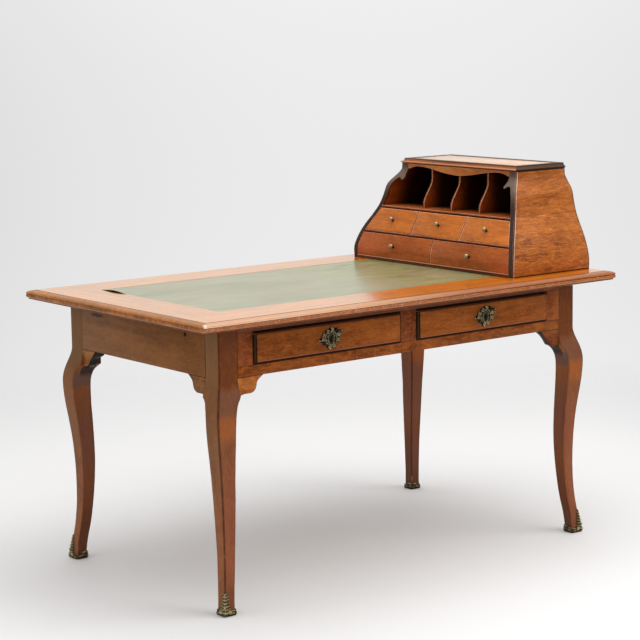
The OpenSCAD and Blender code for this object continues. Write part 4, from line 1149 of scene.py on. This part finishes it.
def knob(name):
    """Turned knob, its base on the largest flat face of its node's solid that looks back at the case."""
    solid = nodes[name].data
    base = max((face for face in solid.polygons if face.normal.x > 0.3), key=lambda face: face.area)
    out, level = -base.normal, base.center.copy()
    ring = [v.co for v in solid.vertices if abs((v.co - level).dot(out)) < 0.00005]
    middle = sum(ring, Vector()) / len(ring)
    bm = bmesh.new()
    relief = relief_of(bm)
    verts = [bm.verts.new((radius, 0, height)) for height, radius in KNOB]
    for vert in verts:
        vert[relief] = min(1.0, max(0.0, (vert.co.z - 0.004) / 0.006))
    edges = [bm.edges.new(pair) for pair in zip(verts, verts[1:])]
    bmesh.ops.spin(bm, geom=verts + edges, cent=HERE, axis=UP, angle=2 * math.pi, steps=28, use_merge=True)
    bmesh.ops.remove_doubles(bm, verts=bm.verts, dist=WELD)
    turn = out.to_track_quat("Z", "Y").to_matrix().to_4x4()
    bmesh.ops.transform(bm, matrix=Matrix.Translation(middle) @ turn, verts=bm.verts)
    in_place(bm, name, ["knob"], 50)


# Outline of a hooked ear in millimetres: in from the neck's side, and down from the cornice
EAR = [(27, 0), (27, 15), (25.4, 21), (24.8, 28), (26.2, 34), (28.4, 39), (28.8, 42.5), (26.4, 45.8),
       (22.5, 46.6), (19, 44.6), (15, 41.8), (10, 40.4), (4.5, 41.4), (-1, 45), (-6.5, 51)]
EAR_ROOT = NECK - 0.060
FACING_STEPS = 34
# The facings are cut across this far over the points of their outline
OFF_OUTLINE = 0.00007


def side_at(high):
    return CASE_HALF - SIDE_INSET * curve_at(BELL, high / NECK)


def front_at(high):
    return FRONT_INSET * curve_at(BELL, high / NECK)


def case_facings():
    """Dark strips on the front edges of the case's sides, each with its hooked ear in one piece."""
    bm = bmesh.new()
    heights = [NECK * i / FACING_STEPS for i in range(FACING_STEPS + 1)]
    outline = [(side_at(h), h) for h in heights]
    outline += [(side_at(NECK) - inward / 1000, NECK - down / 1000) for inward, down in EAR]
    outline += [(side_at(h) - SIDE_THICK, h) for h in reversed(heights) if h < EAR_ROOT]
    for side in (FRONT, BACK):
        bm.faces.new([bm.verts.new((0, side * y, h)) for y, h in outline])
        for h in heights[1:-1]:
            near = [g for g in (*bm.faces, *bm.edges, *bm.verts)
                    if all(v.co.y * side > 0 for v in (g.verts if hasattr(g, "verts") else [g]))]
            cut_level(bm, near, h + OFF_OUTLINE)
    grown = bmesh.ops.extrude_face_region(bm, geom=bm.faces[:])["geom"]
    behind = {g for g in grown if isinstance(g, bmesh.types.BMVert)}
    for vert in bm.verts:
        vert.co.x = front_at(vert.co.z) + (FACING if vert in behind else 0)
    bmesh.ops.translate(bm, vec=CASE_AT, verts=bm.verts)
    # The forward arrises carry a painted highlight
    ease(bm, 0.0006, lambda face, arris: 1 if arris and face.normal.x < -0.2 else 0, 50)
    in_place(bm, "case_facings", ["facing", "rubbed"])


# Each of these names the look of a face by its place in the piece's list of looks; arris is true
# for the faces of an eased arris.

def upright_look(face, arris):
    """Faces, front edge and its arrises, which carry a painted highlight."""
    if arris:
        return 2 if face.normal.x < -0.2 else 0
    return 1 if face.normal.x < FORWARD else 0


def rebated_look(face, arris):
    """Faces, front edge, its upper arris with a painted highlight, and, painted in shade, what lies in
    the rebate and the faces that look down.
    """
    at, way = face.calc_center_median() - CASE_AT, face.normal
    if at.x - front_at(at.z) > 0.002 and (way.x < -0.2 or way.z < -0.2):
        return 3
    if arris:
        return 2 if way.x < -0.2 and way.z > 0.1 else 0
    if way.x < FORWARD:
        return 1
    return 3 if way.z < -0.5 else 0


def drawer_front_look(face, arris):
    """Faces, and the arris along the top of the front, which carries a painted highlight."""
    return 1 if arris and face.normal.x < -0.2 and face.normal.z > 0.2 else 0


def back_look(face, arris):
    """Faces, and the one towards the pigeonholes."""
    return 1 if face.normal.x < -0.5 else 0


def side_look(outward):
    """Veneer outside, dark inside; the arris by the facing pale, the others a painted dark line of shade."""
    def look(face, arris):
        out = face.normal.y * outward
        if arris:
            return 2 if face.calc_center_median().x < CASE_AT.x + CASE_DEEP / 2 and out > 0.1 else 3
        return 0 if out > 0.2 else 1
    return look


def ease_all(*rows):
    """Each row is a node, its looks, the width of its eased arrises, what tells its looks apart,
    and the height and depth of a rebate at the foot of its front edge."""
    for row in rows:
        eased(*row)


for corner, (sx, sy) in CORNERS.items():
    leg("leg_" + corner, sx, sy)
    sabot("sabot_" + corner, sx, sy)
knee_brackets()
leather()
keyhole_plate("drawer_left_escutcheon", LEFT)
keyhole_plate("drawer_right_escutcheon", RIGHT)
for name in nodes:
    if name.endswith("_knob"):
        knob(name)
ease_all(
    ("top_front_border", ["border_x"], 0), ("top_back_border", ["border_x"], 0),
    ("top_left_border", ["border_y"], 0), ("top_right_border", ["border_y"], 0),
    ("apron_left", ["end_apron", "arris"], 0.0008), ("apron_right", ["end_apron", "arris"], 0.0008),
    ("apron_back", ["back_apron", "arris"], 0.0010), ("front_top_rail", ["rail", "arris"], 0.0005),
    ("front_bottom_rail", ["rail", "arris"], 0.0007), ("front_stiles", ["stile", "arris"], 0.0003),
    ("drawer_left_front", ["drawer_left"], 0.0008), ("drawer_right_front", ["drawer_right"], 0.0008),
    ("case_side_left", ["case_side", "inside", "chalky", "arris"], 0.0016, side_look(1)),
    ("case_side_right", ["case_side", "inside", "chalky", "arris"], 0.0016, side_look(-1)),
    ("case_back", ["case_back", "inside"], 0.0006, back_look))
case_facings()
# The valance's arrises and the boards' upper front arrises carry a painted highlight; their rebates and
# undersides painted shade
ease_all(
    ("case_cornice", ["cornice"], 0.0004), ("case_top", ["case_top"], 0.0004),
    ("case_valance", ["valance", "rubbed"], 0.0007), ("case_bottom", ["base"], 0.0005),
    ("case_drawer_rail", ["inside", "board_edge", "rubbed", "gap"], 0.0006, rebated_look, (0.0026, 0.004)),
    ("case_shelf", ["shelf", "board_edge", "rubbed", "gap"], 0.0006, rebated_look, (0.0030, 0.004)),
    ("case_partitions", ["inside", "board_edge", "rubbed"], 0.0010, upright_look),
    ("case_dividers", ["inside", "board_edge", "rubbed"], 0.0010, upright_look))
for name in nodes:
    row = name.split("_")[0]
    if row in ("upper", "lower") and name.endswith("_front"):
        eased(name, [row, "rubbed"], 0.0007, drawer_front_look)

# Pieces inside, which keep their solids and only take a finish
for look, inside in {
        "ground": ["top_core"], "steel": ["drawer_left_lock", "drawer_right_lock"],
        "lining_y": ["drawer_runners", "drawer_left_box", "drawer_right_box"],
        "lining": ["glue_blocks", "drawer_left_bottom", "drawer_right_bottom", "upper_left_box",
                   "upper_middle_box", "upper_right_box", "lower_left_box", "lower_right_box"]}.items():
    for name in inside:
        for holder in nodes[name].material_slots:
            holder.material = finishes[look]


# ---- Floor, light and view ----

# Level directions in the studio, to its right and to its back wall
TO_RIGHT = (0.787, -0.617, 0.0)
TO_WALL = (0.617, 0.787, 0.0)
FLOOR_RADIUS = 9.0
FLOOR_UNDER = 0.0004
FLOOR_FADE = (1.5, 3.4)
# Where the paper greys to the right, as painted shade
FLOOR_GREY = (0.8, 1.8)
# The view: where it is taken from, its turn to the right of Y, its tilt and its roll in degrees, its lens
VIEW_AT = (-3.436, -4.350, 1.513)
VIEW_TURN = (38.106, -8.880, -0.8486)
LENS, FILM = 112.58, 36.0


def pale_floor():
    """Pale paper under the table, greyer to the right with painted shade, that fades out all round."""
    bm = bmesh.new()
    bmesh.ops.create_circle(bm, cap_ends=True, radius=FLOOR_RADIUS, segments=96)
    made = Finish("pale_floor")
    floor = added("floor", mesh_of(bm, "floor", [made.material]))
    far = made.node("VectorMath", {"Vector": made.place}, "Value", operation="LENGTH")
    # Painted shade: the paper greys to the right, standing in for less light there
    to_right = made.along(made.place, TO_RIGHT).rise(*FLOOR_GREY)
    paper = made.mix(to_right, (0.883, 0.876, 0.874), (0.72, 0.716, 0.72))
    paint = made.node("BsdfPrincipled", {"Base Color": paper, "Roughness": 0.7, "Specular IOR Level": 0.2})
    clear = made.node("BsdfTransparent")
    faded = made.node("MixShader", {"Fac": far.rise(*FLOOR_FADE), "Shader": [paint, clear]})
    made.node("OutputMaterial", {"Surface": faded})
    floor.location.z = -FLOOR_UNDER


def soft_world():
    """Pale studio: an even light, a backdrop that falls off to its sides, a brighter wall behind."""
    world = bpy.data.worlds.new("studio")
    bpy.context.scene.world = world
    world.use_nodes = True
    made = Nodes(world.node_tree)
    way = made.node("TexCoord", output="Generated")
    aside, rising = made.along(way, TO_RIGHT), made.along(way, UP)
    bright = (0.834 + (rising + 0.085) ** 2 * 4.5 - (aside - 0.03) ** 2 * 2.4).high(0.74).low(0.89)
    backdrop = made.node("VectorMath", {"Vector": (1.0, 0.995, 1.0), "Scale": bright}, operation="SCALE")
    wall = made.mix(made.along(way, TO_WALL).rise(-0.2, 0.8), (0.20, 0.20, 0.21), (0.78, 0.83, 0.77))
    seen = made.mix(made.node("LightPath", output="Is Camera Ray"), (0.62, 0.62, 0.62), backdrop)
    colour = made.mix(made.node("LightPath", output="Is Glossy Ray"), seen, wall)
    made.node("OutputWorld", {"Surface": made.node("Background", {"Color": colour})})


def softbox(name, at, aim, size, power):
    lamp = bpy.data.lights.new(name, "AREA")
    lamp.shape = "RECTANGLE"
    lamp.size, lamp.size_y = size
    lamp.energy = power
    holder = added(name, lamp)
    holder.location = at
    holder.rotation_euler = (Vector(aim) - Vector(at)).to_track_quat("-Z", "Y").to_euler()


def view():
    yaw, pitch, roll = (math.radians(angle) for angle in VIEW_TURN)
    ahead = Vector((math.sin(yaw) * math.cos(pitch), math.cos(yaw) * math.cos(pitch), math.sin(pitch)))
    level = Vector((math.cos(yaw), -math.sin(yaw), 0))
    top = level.cross(ahead)
    right = level * math.cos(roll) + top * math.sin(roll)
    up = top * math.cos(roll) - level * math.sin(roll)
    data = bpy.data.cameras.new("view")
    data.lens, data.sensor_width = LENS, FILM
    data.clip_end = 100
    camera = added("view", data)
    camera.matrix_world = Matrix.Translation(VIEW_AT) @ Matrix((right, up, -ahead)).transposed().to_4x4()
    bpy.context.scene.camera = camera


pale_floor()
soft_world()
softbox("overhead", (0.1, 0.1, 3.2), (0, 0, 0.6), (2.6, 2.6), 48)
softbox("key", (1.3, -1.8, 3.0), (0.1, 0, 0.5), (2.2, 2.2), 38)
softbox("side_fill", (-4.2, 0.2, 1.6), (0, 0, 0.5), (3.0, 2.0), 20)
softbox("front_fill", (-2.6, -2.6, 2.8), (0, 0, 0.5), (2.0, 2.0), 8)
view()
bpy.context.scene.view_settings.view_transform = "Standard"
